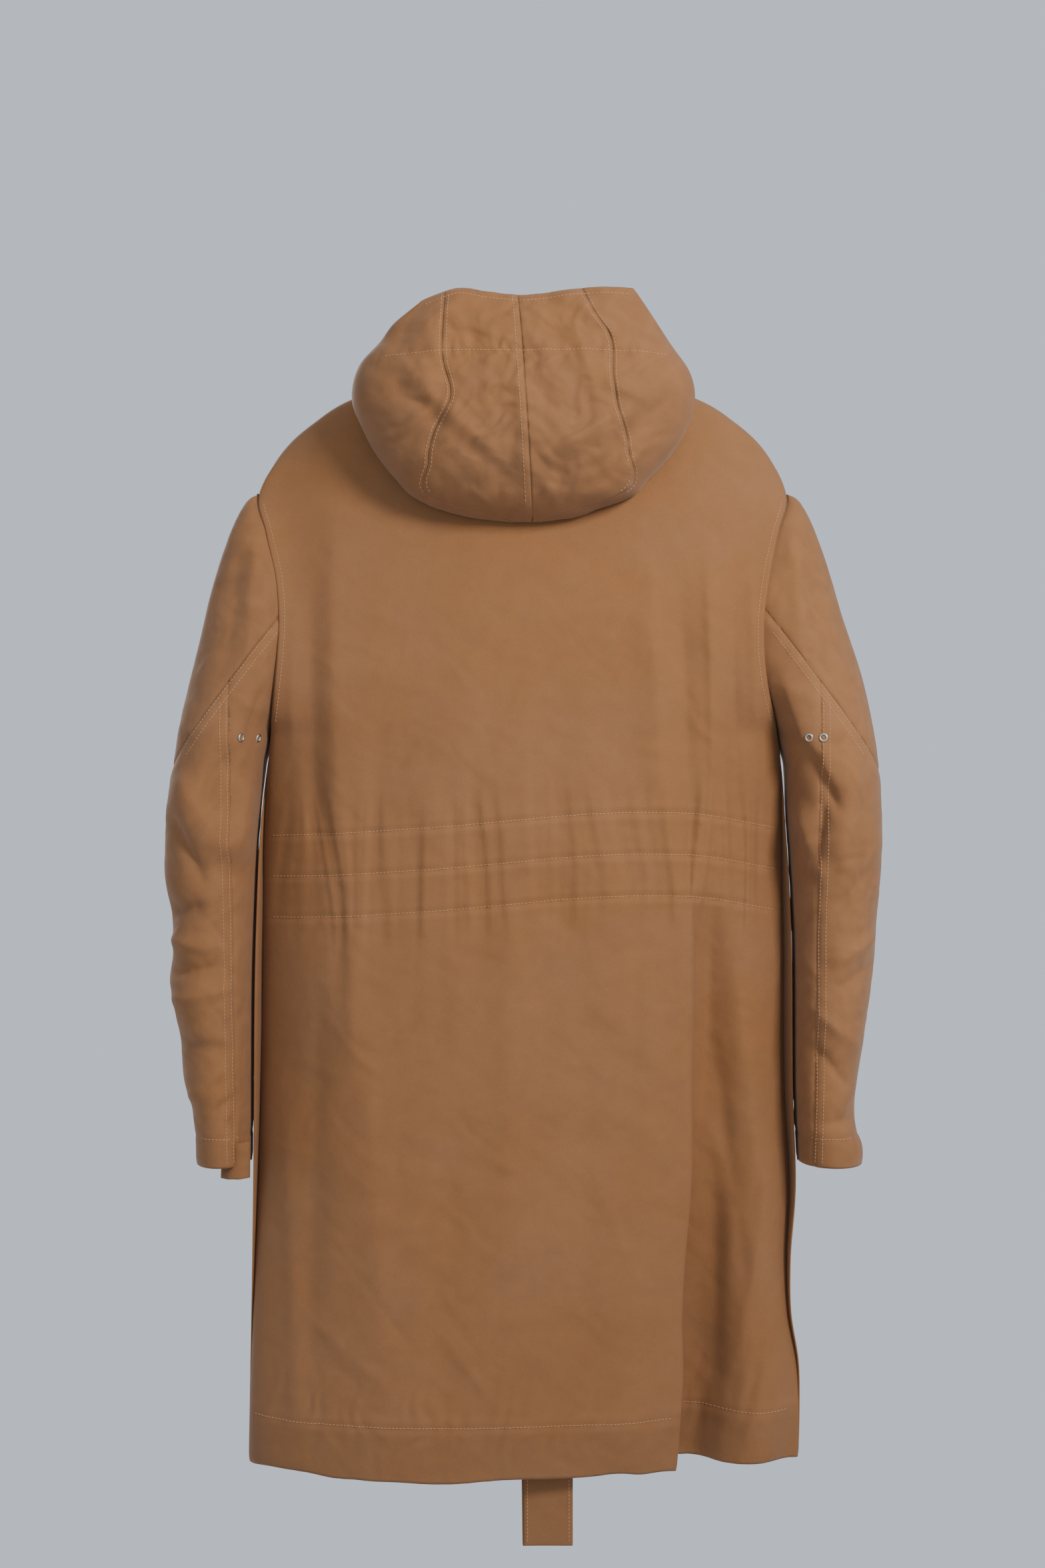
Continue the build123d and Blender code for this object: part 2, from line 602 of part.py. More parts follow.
# Fronts, each with its facings, zip tape and chain, and pocket
chain_outside = -(SHELL + FACING + ZIP_TAPE_THICKNESS / 2 - CHAIN_HEIGHT / 2)
edge_x = FRONT_GAP / 2
chain_x = edge_x - ZIP_TAPE_SHOWN - CHAIN_WIDTH / 2
bag_bottom_z = POCKET_MIDDLE_Z + POCKET_MOUTH_LENGTH / 2 + BAG_TOP_MARGIN - BAG_HEIGHT
bag_top_z = bag_bottom_z + BAG_HEIGHT
pocket_lean = degrees(atan2(FOLD_HEM_X - FRONT_GAP / 2, up(NECK_Z) - up(HEM_Z)))
for side, sign in (("left", 1), ("right", -1)):
    mouth_x = sign * (fold_x(POCKET_MIDDLE_Z) - POCKET_FOLD_INSET)
    mouth_place = Location((mouth_x, up(POCKET_MIDDLE_Z)), sign * pocket_lean)

    with BuildPart() as front_panel:
        add(front_plate(front_outline(sign, HEM_Z, FRONT_TOP_Z), 0, SHELL))
        with BuildSketch(FRONT):
            with Locations(mouth_place):
                Rectangle(POCKET_MOUTH_WIDTH, POCKET_MOUTH_LENGTH)
        extrude(amount=-SHELL, mode=Mode.SUBTRACT)
    write(front_panel, f"front_panel_{side}")

    # Facing behind the front edge, with the zip tape sewn to it
    facing_x = edge_x + FACING_WIDTH
    edge_strip = [
        (sign * edge_x, up(HEM_Z)), (sign * edge_x, up(FRONT_TOP_Z)),
        (sign * fold_x(FRONT_TOP_Z), up(FRONT_TOP_Z)),
        (sign * facing_x, up(fold_z(facing_x))), (sign * facing_x, up(HEM_Z)),
    ]
    with BuildPart() as front_facing:
        add(front_plate(edge_strip, -SHELL, FACING))
    write(front_facing, f"front_facing_{side}")

    tape_near, tape_far = edge_x - ZIP_TAPE_SHOWN, edge_x - ZIP_TAPE_SHOWN + ZIP_TAPE_WIDTH
    tape_strip = [
        (sign * tape_near, up(ZIP_BOTTOM_Z)), (sign * tape_near, up(ZIP_TOP_Z)),
        (sign * tape_far, up(ZIP_TOP_Z)), (sign * tape_far, up(ZIP_BOTTOM_Z)),
    ]
    with BuildPart() as zip_tape:
        add(front_plate(tape_strip, -SHELL - FACING, ZIP_TAPE_THICKNESS))
    write(zip_tape, f"zip_tape_{side}")

    chain_near, chain_far = chain_x - CHAIN_WIDTH / 2, chain_x + CHAIN_WIDTH / 2
    chain_strip = [
        (sign * chain_near, up(ZIP_BOTTOM_Z)), (sign * chain_near, up(ZIP_TOP_Z)),
        (sign * chain_far, up(ZIP_TOP_Z)), (sign * chain_far, up(ZIP_BOTTOM_Z)),
    ]
    with BuildPart() as zip_chain:
        add(front_plate(chain_strip, chain_outside, CHAIN_HEIGHT))
    write(zip_chain, f"zip_chain_{side}")

    # Turned-up hem between the facing and the fold line
    hem_strip = front_outline(
        sign, HEM_Z, HEM_Z + HEM_DEPTH, edge_inset=FACING_WIDTH, fold_inset=SEWN_CLEARANCE
    )
    with BuildPart() as hem_facing:
        add(front_plate(hem_strip, -SHELL, FACING))
    write(hem_facing, f"hem_facing_{side}")

    # Welt outside the pocket's mouth, joined along its outer edge
    with BuildPart() as pocket_welt:
        with BuildSketch(FRONT):
            with Locations(mouth_place):
                with Locations((sign * (WELT_WIDTH - POCKET_MOUTH_WIDTH) / 2, 0)):
                    Rectangle(WELT_WIDTH, POCKET_MOUTH_LENGTH + WELT_WIDTH)
        extrude(amount=2 * WELT_THICKNESS)
        with BuildSketch(FRONT):
            with Locations(mouth_place):
                with Locations((-sign * WELT_WIDTH / 4, 0)):
                    Rectangle(WELT_WIDTH / 2 + POCKET_MOUTH_WIDTH, POCKET_MOUTH_LENGTH)
        extrude(amount=WELT_THICKNESS, mode=Mode.SUBTRACT)
    write(pocket_welt, f"pocket_welt_{side}")

    # Bag behind the front, open at the mouth
    bag_near = edge_x + FACING_WIDTH - ZIP_TAPE_WIDTH
    bag = [
        (sign * bag_near, up(bag_bottom_z)), (sign * bag_near, up(bag_top_z)),
        (sign * (fold_x(bag_top_z) - BAG_SIDE_MARGIN), up(bag_top_z)),
        (sign * (fold_x(bag_bottom_z) - BAG_SIDE_MARGIN), up(bag_bottom_z)),
    ]
    with BuildPart() as pocket_bag:
        add(front_plate(bag, -SHELL - FACING, BAG_DEPTH))
        with BuildSketch(FRONT.offset(-SHELL - FACING - BAG_CLOTH)):
            with BuildLine():
                Polyline(*bag, close=True)
            make_face()
            offset(amount=-BAG_CLOTH, kind=Kind.INTERSECTION, mode=Mode.REPLACE)
        extrude(amount=-BAG_DEPTH + 2 * BAG_CLOTH, mode=Mode.SUBTRACT)
        with BuildSketch(FRONT.offset(-SHELL)):
            with Locations(mouth_place):
                Rectangle(POCKET_MOUTH_WIDTH + 2 * BAG_CLOTH, POCKET_MOUTH_LENGTH + 2 * BAG_CLOTH)
        extrude(amount=-FACING)
        with BuildSketch(FRONT.offset(-SHELL)):
            with Locations(mouth_place):
                Rectangle(POCKET_MOUTH_WIDTH, POCKET_MOUTH_LENGTH)
        extrude(amount=-FACING - 2 * BAG_CLOTH, mode=Mode.SUBTRACT)
    write(pocket_bag, f"pocket_bag_{side}")

# Zip slider, waiting at the bottom of the left chain
slider_outside = chain_outside + RUNNING_CLEARANCE + SLIDER_PLATE
slider_height = CHAIN_HEIGHT + 2 * RUNNING_CLEARANCE + 2 * SLIDER_PLATE
slider_x = chain_x - CHAIN_WIDTH / 2 - 1
post_x = slider_x - POST_WIDTH / 2 + 1 - RUNNING_CLEARANCE
slider_middle = up(ZIP_BOTTOM_Z) + SLIDER_LENGTH / 2 + 1
lug_middle = slider_middle - SLIDER_LENGTH / 2 + LUG_LENGTH / 2 + 2
pull_middle = slider_outside + LUG_HEIGHT / 2
pull_top = lug_middle + PULL_END
pin = FRONT.from_local_coords((slider_x, lug_middle, pull_middle))
chain_room = CHAIN_WIDTH + 2 * RUNNING_CLEARANCE
tape_room = ZIP_TAPE_THICKNESS + 2 * RUNNING_CLEARANCE
with BuildPart() as zip_slider:
    with BuildSketch(FRONT.offset(slider_outside)):
        with Locations((slider_x, slider_middle)):
            RectangleRounded(SLIDER_WIDTH, SLIDER_LENGTH, SLIDER_WIDTH / 4)
    extrude(amount=-slider_height)
    with BuildSketch(FRONT.offset(chain_outside + RUNNING_CLEARANCE)):
        with Locations((slider_x, slider_middle)):
            Rectangle(2 * CHAIN_WIDTH + 2 + 2 * RUNNING_CLEARANCE, SLIDER_LENGTH)
    extrude(amount=-CHAIN_HEIGHT - 2 * RUNNING_CLEARANCE, mode=Mode.SUBTRACT)
    with BuildSketch(FRONT.offset(-SHELL - FACING + RUNNING_CLEARANCE)):
        with Locations((chain_x, slider_middle)):
            Rectangle(2 * SLIDER_WIDTH, SLIDER_LENGTH)
    extrude(amount=-tape_room, mode=Mode.SUBTRACT)
    with BuildSketch(FRONT.offset(slider_outside)):
        with Locations((post_x, slider_middle + SLIDER_LENGTH / 4)):
            Rectangle(POST_WIDTH, SLIDER_LENGTH / 3)
    extrude(amount=-slider_height)
    with BuildSketch(FRONT.offset(slider_outside)):
        with Locations((slider_x, lug_middle)):
            Rectangle(LUG_WIDTH, LUG_LENGTH)
    extrude(amount=LUG_HEIGHT)
    with BuildSketch(Plane.YZ.offset(slider_x - LUG_WIDTH)):
        with Locations((pin.Y, pin.Z)):
            Circle(PULL_PIN_RADIUS + PIN_CLEARANCE)
    extrude(amount=2 * LUG_WIDTH, mode=Mode.SUBTRACT)
write(zip_slider, "zip_slider")

# Pull hinged on the slider's lug by its cross pin, hanging down the zip
with BuildPart() as zip_pull:
    with BuildSketch(FRONT.offset(pull_middle - PULL_THICKNESS / 2)):
        with Locations((slider_x, pull_top - PULL_LENGTH / 2)):
            RectangleRounded(PULL_WIDTH, PULL_LENGTH, PULL_THICKNESS / 3)
        with Locations((slider_x, lug_middle)):
            Rectangle(LUG_WIDTH + 2 * PIN_CLEARANCE, LUG_LENGTH + 4 * PIN_CLEARANCE, mode=Mode.SUBTRACT)
    extrude(amount=PULL_THICKNESS)
    with BuildSketch(Plane.YZ.offset(slider_x - LUG_WIDTH / 2 - PIN_CLEARANCE)):
        with Locations((pin.Y, pin.Z)):
            Circle(PULL_PIN_RADIUS)
    extrude(amount=LUG_WIDTH + 2 * PIN_CLEARANCE)
write(zip_pull, "zip_pull")

# Storm flap over the zip, sewn to the left front, with its snaps
flap_seam_x = edge_x + FLAP_SEAM_INSET
flap_strip = [
    (flap_seam_x - FLAP_WIDTH, up(FLAP_BOTTOM_Z)), (flap_seam_x - FLAP_WIDTH, up(FLAP_TOP_Z)),
    (flap_seam_x, up(FLAP_TOP_Z)), (flap_seam_x, up(FLAP_BOTTOM_Z)),
]
with BuildPart() as storm_flap:
    add(front_plate(flap_strip, SEWN_CLEARANCE + FLAP_THICKNESS, FLAP_THICKNESS))
write(storm_flap, "storm_flap")

snap_pitch = (up(FLAP_TOP_Z) - up(FLAP_BOTTOM_Z) - 2 * SNAP_TOP_INSET) / (SNAP_COUNT - 1)
snap_heights = [up(FLAP_TOP_Z) - SNAP_TOP_INSET - n * snap_pitch for n in range(SNAP_COUNT)]
with BuildPart() as snap_caps:
    with BuildSketch(FRONT.offset(SEWN_CLEARANCE + FLAP_THICKNESS)):
        with Locations([(flap_seam_x - FLAP_WIDTH + SNAP_EDGE_INSET, level) for level in snap_heights]):
            Circle(SNAP_RADIUS)
    extrude(amount=SNAP_HEIGHT)
write(snap_caps, "snap_caps")

# With the fronts drawn together the caps come over these studs on the right front
stud_x = -(FLAP_WIDTH - FLAP_SEAM_INSET - SNAP_EDGE_INSET) - edge_x
with BuildPart() as snap_studs:
    with BuildSketch(FRONT):
        with Locations([(stud_x, level) for level in snap_heights]):
            Circle(SNAP_RADIUS)
    extrude(amount=STUD_PLATE)
    with BuildSketch(FRONT):
        with Locations([(stud_x, level) for level in snap_heights]):
            Circle(STUD_RADIUS)
    extrude(amount=STUD_HEIGHT)
write(snap_studs, "snap_studs")
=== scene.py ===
"""A long hooded cotton parka hanging from its neck: cloth, seams, metal parts, camera and light.

Shapes are worked out in millimetres in the frame's own axes (+Z up, back +Y, the wearer's left +X)
and turned into metres when a mesh is made.  Grids of points run downwards in rows, and along each
row so that their faces look outwards.
"""
import math

import bmesh
import bpy
import numpy as np
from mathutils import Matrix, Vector
from mathutils.bvhtree import BVHTree


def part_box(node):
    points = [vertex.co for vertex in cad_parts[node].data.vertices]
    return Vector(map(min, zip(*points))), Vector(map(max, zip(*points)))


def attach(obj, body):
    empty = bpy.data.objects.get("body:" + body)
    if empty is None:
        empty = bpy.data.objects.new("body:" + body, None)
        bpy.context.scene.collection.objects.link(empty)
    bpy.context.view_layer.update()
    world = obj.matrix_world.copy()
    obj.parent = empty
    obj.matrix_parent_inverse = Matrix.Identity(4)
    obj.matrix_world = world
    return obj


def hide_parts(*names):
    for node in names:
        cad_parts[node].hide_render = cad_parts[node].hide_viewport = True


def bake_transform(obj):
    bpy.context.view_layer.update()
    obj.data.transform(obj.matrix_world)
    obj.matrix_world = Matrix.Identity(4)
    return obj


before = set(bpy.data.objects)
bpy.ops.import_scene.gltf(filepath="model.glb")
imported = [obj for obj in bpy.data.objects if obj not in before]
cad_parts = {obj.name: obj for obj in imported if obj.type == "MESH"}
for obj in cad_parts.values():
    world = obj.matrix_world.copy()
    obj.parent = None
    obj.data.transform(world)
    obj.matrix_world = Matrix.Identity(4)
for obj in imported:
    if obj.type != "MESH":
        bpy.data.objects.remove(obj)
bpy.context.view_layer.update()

MM = 0.001
CLOTH = 1.1               # thickness of the shown cloth
LAYER_GAP = 0.7           # air between two layers of it
STITCH_PITCH = 3.4
STITCH_LENGTH = 2.5
STITCH_RADIUS = 0.42

# Heights that the cloth hangs by
NECK = 30.0
TIP = -86.0
UNDERARM = -314.0
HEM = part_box("back_panel")[0].z / MM
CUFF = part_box("sleeve_left_main")[0].z / MM
STRAP_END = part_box("strap")[0].z / MM
WAIST_LINES = (-390.0, -428.0, -466.0)
HEM_BAND = 47.0
EDGE_X = 45.0             # the open front edges hang this far from the middle
FRONT_SLOPE = 38.0 / 1014.0
FOLD_HEM_X = 210.0        # each front folds back along a line from its neck corner to here
HOOD_NEAR = 57.0


# ---------------------------------------------------------------- camera

camera = bpy.data.objects.new("camera", bpy.data.cameras.new("camera"))
bpy.context.scene.collection.objects.link(camera)
camera.data.lens = 53.55
camera.location = (0.002, 2.18, -0.356)
camera.rotation_euler = (math.pi / 2, 0, math.pi)
bpy.context.scene.camera = camera


# ---------------------------------------------------------------- small tools

def through(*points):
    """A smooth curve through given (place, value) points, level beyond its ends."""
    places = np.array([p[0] for p in points], float)
    values = np.array([p[1] for p in points], float)
    order = np.argsort(places)
    places, values = places[order], values[order]
    if len(places) > 2:
        slopes = np.gradient(values, places)
    else:
        slopes = np.zeros(2) + np.diff(values) / np.diff(places)

    def at(t):
        t = np.clip(np.asarray(t, float), places[0], places[-1])
        i = np.clip(np.searchsorted(places, t) - 1, 0, len(places) - 2)
        gap = places[i + 1] - places[i]
        s = (t - places[i]) / gap
        rise = (3 - 2 * s) * s * s
        return (
            values[i] * (1 - rise) + values[i + 1] * rise
            + gap * (slopes[i] * s * (1 - s) ** 2 - slopes[i + 1] * s * s * (1 - s))
        )
    return at


def ease(low, high, t):
    """0 before low, 1 after high, smooth between; low may be the larger."""
    s = np.clip((np.asarray(t, float) - low) / (high - low), 0, 1)
    return s * s * (3 - 2 * s)


def bump(centre, width, t):
    """A bell of height 1 at centre."""
    return np.exp(-((np.asarray(t, float) - centre) / width) ** 2)


def crumple(x, z, size, seed, layers=3):
    """Smooth irregular waves between about -1 and 1, the same on every run."""
    rng = np.random.default_rng(seed)
    bend = rng.uniform(0, 2 * math.pi, 4)
    across, down = x / size, z / size
    sideways = 0.34 * np.sin(3.1 * down + bend[0]) + 0.2 * np.sin(5.3 * down + 2.2 * across + bend[1])
    upwards = 0.34 * np.sin(2.7 * across + bend[2]) + 0.2 * np.sin(4.6 * across - 2.9 * down + bend[3])
    x = x + size * sideways
    z = z + size * upwards
    total = np.zeros(np.broadcast(x, z).shape)
    for layer in range(layers):
        waves = 7
        scale = size / 1.7 ** layer
        for angle, phase, stretch in zip(
            rng.uniform(0, math.pi, waves), rng.uniform(0, 2 * math.pi, waves), rng.uniform(0.7, 1.4, waves)
        ):
            along = (x * math.cos(angle) + z * math.sin(angle)) * 2 * math.pi / (scale * stretch)
            total = total + np.sin(along + phase) * 0.38 / 1.6 ** layer
    return total


def fold(x, z, start, end, width, depth, lean=0.0):
    """A ridge from start to end that fades at both ends; lean makes one of its sides the steeper."""
    ax, az = start
    bx, bz = end
    length = math.hypot(bx - ax, bz - az)
    along = ((x - ax) * (bx - ax) + (z - az) * (bz - az)) / length
    across = ((x - ax) * (bz - az) - (z - az) * (bx - ax)) / length / width
    fade = ease(-0.1 * length, 0.3 * length, along) * ease(1.1 * length, 0.7 * length, along)
    across = across * np.where(across > 0, 1 + lean, 1 - lean)
    return depth * fade / (1 + across ** 2) ** 1.5


def folds_of(x, z, table):
    """All the folds of a table of (start, end, width, depth) or (start, end, width, depth, lean)."""
    return sum(fold(x, z, *row) for row in table)


def spaced(first, last, step):
    """Evenly spaced values from first to last, about a step apart."""
    return np.linspace(first, last, int(round(abs(last - first) / step)) + 1)


def link(name, mesh):
    """An object in the scene for a mesh."""
    mesh.polygons.foreach_set("use_smooth", [True] * len(mesh.polygons))
    mesh.update()
    piece = bpy.data.objects.new(name, mesh)
    bpy.context.scene.collection.objects.link(piece)
    return piece


def grid_mesh(name, places, tone=None):
    """A mesh from rows and columns of points; tone, from -1 to 1, darkens or lightens its colour."""
    rows, columns, _ = places.shape
    mesh = bpy.data.meshes.new(name)
    index = np.arange(rows * columns).reshape(rows, columns)
    faces = np.stack([index[:-1, :-1], index[:-1, 1:], index[1:, 1:], index[1:, :-1]], axis=-1)
    faces = faces.reshape(-1, 4)
    mesh.from_pydata((places.reshape(-1, 3) * MM).tolist(), [], faces.tolist())
    if tone is not None:
        shade = mesh.attributes.new("tone", "FLOAT", "POINT")
        shade.data.foreach_set("value", np.broadcast_to(tone, (rows, columns)).ravel().astype(np.float32))
    return link(name, mesh)


def mesh_piece(name, corners, faces):
    """An object from corners in metres and their faces."""
    mesh = bpy.data.meshes.new(name)
    mesh.from_pydata([tuple(c) for c in corners], [], faces)
    return link(name, mesh)


def ring_faces(first, ring, levels):
    """Faces between rings of corners, the first of which starts at the corner numbered first."""
    faces = []
    for low in range(first, first + (levels - 1) * ring, ring):
        for i in range(ring):
            after = (i + 1) % ring
            faces.append([low + i, low + after, low + ring + after, low + ring + i])
    return faces


def joined(name, pieces, weld=0.0):
    """One object made of several, with points that lie within weld of each other joined."""
    made = bmesh.new()
    for piece in pieces:
        made.from_mesh(piece.data)
    if weld:
        bmesh.ops.remove_doubles(made, verts=made.verts, dist=weld * MM)
    mesh = bpy.data.meshes.new(name)
    made.to_mesh(mesh)
    made.free()
    for piece in pieces:
        bpy.data.objects.remove(piece)
    return link(name, mesh)


def cut(piece, name, planes):
    """A copy of what lies behind each (point, normal) plane."""
    made = bmesh.new()
    made.from_mesh(piece.data)
    for point, normal in planes:
        everything = made.verts[:] + made.edges[:] + made.faces[:]
        bmesh.ops.bisect_plane(
            made, geom=everything, plane_co=Vector(point) * MM, plane_no=Vector(normal), clear_outer=True
        )
    mesh = bpy.data.meshes.new(name)
    made.to_mesh(mesh)
    made.free()
    return link(name, mesh)


def thicken(piece, thickness=CLOTH, side=-1.0):
    """Give cloth its thickness, inwards by default."""
    solid = piece.modifiers.new("thickness", "SOLIDIFY")
    solid.thickness = thickness * MM
    solid.offset = side
    bpy.context.view_layer.update()
    graph = bpy.context.evaluated_depsgraph_get()
    made = bpy.data.meshes.new_from_object(piece.evaluated_get(graph), depsgraph=graph)
    piece.modifiers.clear()
    piece.data = made
    return piece


def inward(places, inset):
    """The same grid moved inwards along its normals."""
    across = np.gradient(places, axis=1)
    down = np.gradient(places, axis=0)
    normal = np.cross(across, down)
    normal /= np.maximum(np.linalg.norm(normal, axis=-1, keepdims=True), 1e-9)
    return places - inset * normal


def tree_of(*pieces):
    """A tree for finding points on the surface of pieces."""
    corners, faces = [], []
    for piece in pieces:
        first = len(corners)
        corners += [v.co.copy() for v in piece.data.vertices]
        faces += [[first + i for i in p.vertices] for p in piece.data.polygons]
    return BVHTree.FromPolygons(corners, faces)


def on_surface(tree, x, z, side):
    """Where a line along Y at x and z, coming from the back (1) or front (-1), meets a surface."""
    place, normal, _, _ = tree.ray_cast(Vector((x * MM, side * 0.6, z * MM)), Vector((0, -side, 0)))
    return place, normal


def sew(name, tree, lines, side=1):
    """Stitches as short raised threads along lines of (x, z) points, on the surface in the tree."""
    ring = [(math.cos(a), math.sin(a)) for a in np.linspace(0, 2 * math.pi, 7)[:-1]]
    stations = ((0.0, 0.3), (0.18, 0.95), (0.82, 0.95), (1.0, 0.3))
    corners, faces = [], []
    for line in lines:
        line = np.array(line, float)
        run = np.concatenate([[0], np.cumsum(np.linalg.norm(np.diff(line, axis=0), axis=1))])
        for start in np.arange(0, run[-1] - STITCH_LENGTH, STITCH_PITCH):
            ends = []
            for distance in (start, start + STITCH_LENGTH):
                x, z = (np.interp(distance, run, line[:, k]) for k in (0, 1))
                ends.append(on_surface(tree, x, z, side))
            (a, up), (b, _) = ends
            if a is None or b is None or (b - a).length > 2 * STITCH_LENGTH * MM:
                continue
            up = up if up.y * side > 0 else -up
            along = (b - a).normalized()
            across = along.cross(up).normalized()
            up = across.cross(along)
            first = len(corners)
            for share, size in stations:
                middle = a.lerp(b, share) + up * STITCH_RADIUS * MM * 0.25
                corners += [middle + (across * c + up * s) * size * STITCH_RADIUS * MM for c, s in ring]
            faces += ring_faces(first, len(ring), len(stations))
    return mesh_piece(name, corners, faces)


# ---------------------------------------------------------------- coat body shape

# Half widths of the body, and the depths of its side edges and of its back, by height
left_x = through(
    (30, 72), (17, 118), (4, 158), (-21, 200), (-60, 236), (-86, 248), (-124, 239), (-168, 228),
    (-204, 225), (-262, 229), (-314, 237), (-400, 246), (-480, 249), (-700, 252), (HEM, 258),
)
right_x = through(
    (30, 72), (17, 118), (4, 158), (-21, 200), (-60, 234), (-86, 244), (-124, 234), (-168, 224),
    (-204, 219), (-262, 222), (-314, 236), (-400, 243), (-480, 247), (-640, 249), (-740, 252),
    (-800, 248), (-850, 249), (-895, 256), (-940, 257), (HEM, 256),
)
back_edge_y = through(
    (30, 6), (4, 1), (-60, 0), (-86, 4.5), (-105, 22), (-124, 31.5), (-168, 46), (-204, 53),
    (-240, 54), (-270, 47), (-294, 28), (-310, 7), (-324, 0), (HEM, 0),
)
front_edge_y = through(
    (30, 6), (4, 1), (-60, 0), (-86, -3), (-105, -15), (-124, -24), (-168, -37), (-204, -42),
    (-262, -36), (-296, -18), (-314, -3), (-330, 0), (HEM, 0),
)
back_middle = through(
    (30, 49), (-60, 50), (-118, 53), (-150, 57), (-314, 64), (-430, 63), (-700, 70), (HEM, 74),
)
back_left = through((30, 48), (-60, 46), (-118, 51), (-204, 62), (-430, 64), (-700, 74), (HEM, 86))
back_right = through((30, 48), (-60, 46), (-118, 51), (-204, 60), (-430, 58), (-700, 52), (HEM, 50))
# The long tuck of the skirt: where it runs, its section, and how far the waist lines wander
tuck_share = through((HEM, 0.528), (-700, 0.598), (-540, 0.614), (-440, 0.613), (30, 0.6))
tuck_profile = through((0, 1), (25, 0.82), (50, 0.2), (78, -0.2), (112, 0))
waist_warp = through((240, -14), (177, -11.5), (90, -6), (-117, 8), (-152, 7), (-235, -7))


def reach(x, z):
    """How far the coat body reaches sideways at height z, on the side where x is."""
    return np.where(np.asarray(x) >= 0, left_x(z), right_x(z))


# Folds of the back: long soft ones from the shoulders
BACK_FOLDS = (
    ((176, -110), (172, -470), 13, 3.2), ((196, -170), (190, -420), 12, -4.0),
    ((212, -190), (214, -330), 8, 3.5), ((-112, -140), (-130, -460), 14, 5.0, 0.4),
    ((-142, -170), (-154, -470), 12, -5.0), ((-166, -140), (-176, -430), 10, 5.0, -0.4),
    ((-188, -200), (-196, -420), 9, -5.0), ((-206, -150), (-214, -340), 7, 4.5),
    ((60, -200), (40, -420), 26, 1.8), ((-40, -240), (-60, -480), 22, -2.0),
    # skirt
    ((150, -500), (128, -930), 22, 4.0, 0.3), ((188, -520), (196, -900), 16, -4.0),
    ((222, -640), (206, -980), 12, 4.0), ((64, -560), (76, -960), 26, -3.0),
    ((18, -480), (8, -860), 20, 2.6), ((-58, -520), (-52, -900), 20, -3.0),
    ((-112, -470), (-108, -900), 16, 3.0), ((-94, -780), (-94, -1010), 34, 7.0),
    ((-186, -480), (-226, -760), 12, 4.0, 0.3), ((-172, -560), (-212, -860), 11, -4.0),
    ((-232, -700), (-196, -900), 9, 3.4), ((-236, -800), (-206, -930), 8, -3.0),
    ((-172, -462), (-166, -680), 13, -7.0), ((-180, -730), (-180, -930), 12, -7.0),
    ((-160, -640), (-214, -800), 14, 2.5, 0.4), ((-206, -480), (-216, -660), 14, 4.0),
    # creases left by wear and packing
    ((210, -830), (120, -905), 7, 1.8), ((150, -800), (100, -870), 6, -1.2),
    ((80, -846), (20, -925), 6, 1.5), ((-20, -850), (30, -926), 6, 1.2), ((-90, -826), (-40, -925), 7, 1.5),
    ((-60, -700), (-110, -830), 8, 1.2), ((96, -300), (20, -360), 8, 0.8),
    ((-10, -160), (60, -260), 9, 0.7),
)


def back_folds(x, z):
    """How far the folds of the back stand out, in millimetres."""
    inner = 1 - np.clip(np.abs(x) / reach(x, z), 0, 1) ** 8
    at_waist = z - waist_warp(x) - WAIST_LINES[1]
    band = ease(-82, -36, at_waist) * ease(86, 38, at_waist)
    wide_band = ease(-240, -30, at_waist) * ease(190, 30, at_waist)
    wander = x + 9 * crumple(x, z * 0.25, 120, 11, 2)
    gathers = 1.25 * np.sin(2 * math.pi * wander / 27) + 0.55 * np.sin(2 * math.pi * wander / 11.5 + 1)
    strength = 0.55 + 0.5 * ease(-70, -160, x) + 0.35 * ease(150, 60, x) * ease(0, 60, x)
    out = 1.25 * band * gathers * strength
    out = out + wide_band * 2.0 * np.sin(2 * math.pi * wander / 74 + 0.8)
    for line in WAIST_LINES:
        seam = z - waist_warp(x) - line
        out = out - 1.3 * bump(0, 2.4, seam) + 0.6 * bump(-5.5, 3.2, seam) + 0.6 * bump(5.5, 3.2, seam)
    hem_seam = z - HEM - HEM_BAND
    out = out - 1.1 * bump(0, 2.2, hem_seam) + 0.5 * bump(-6, 4, hem_seam)
    pucker = np.sin(2 * math.pi * (x + 0.35 * z + 7 * crumple(x, z, 90, 5, 2)) / 19)
    pucker = pucker * (0.4 + 0.6 * crumple(x, 0 * z, 130, 8, 1) ** 2)
    out = out + 0.8 * pucker * ease(70, 4, hem_seam) * ease(-46, -4, hem_seam)
    # the broad fall to the sides
    out = out - 0.42 * np.logaddexp(0, (x - 178) / 7) * 7 * ease(20, -150, z) * ease(HEM, -520, z)
    out = out - 0.20 * np.logaddexp(0, (-x - 168) / 8) * 8 * ease(-60, -200, z) * ease(-700, -420, z)
    out = out + folds_of(x, z, BACK_FOLDS)
    out = out + 0.9 * crumple(x, z, 210, 3) + 0.24 * crumple(x, z, 46, 4) * ease(20, -300, z)
    return out * inner


def tuck_depth(z):
    """How deep the long tuck on the right of the skirt is at height z."""
    return 14 * ease(-444, -520, z) + 42 * ease(-440, HEM, z)


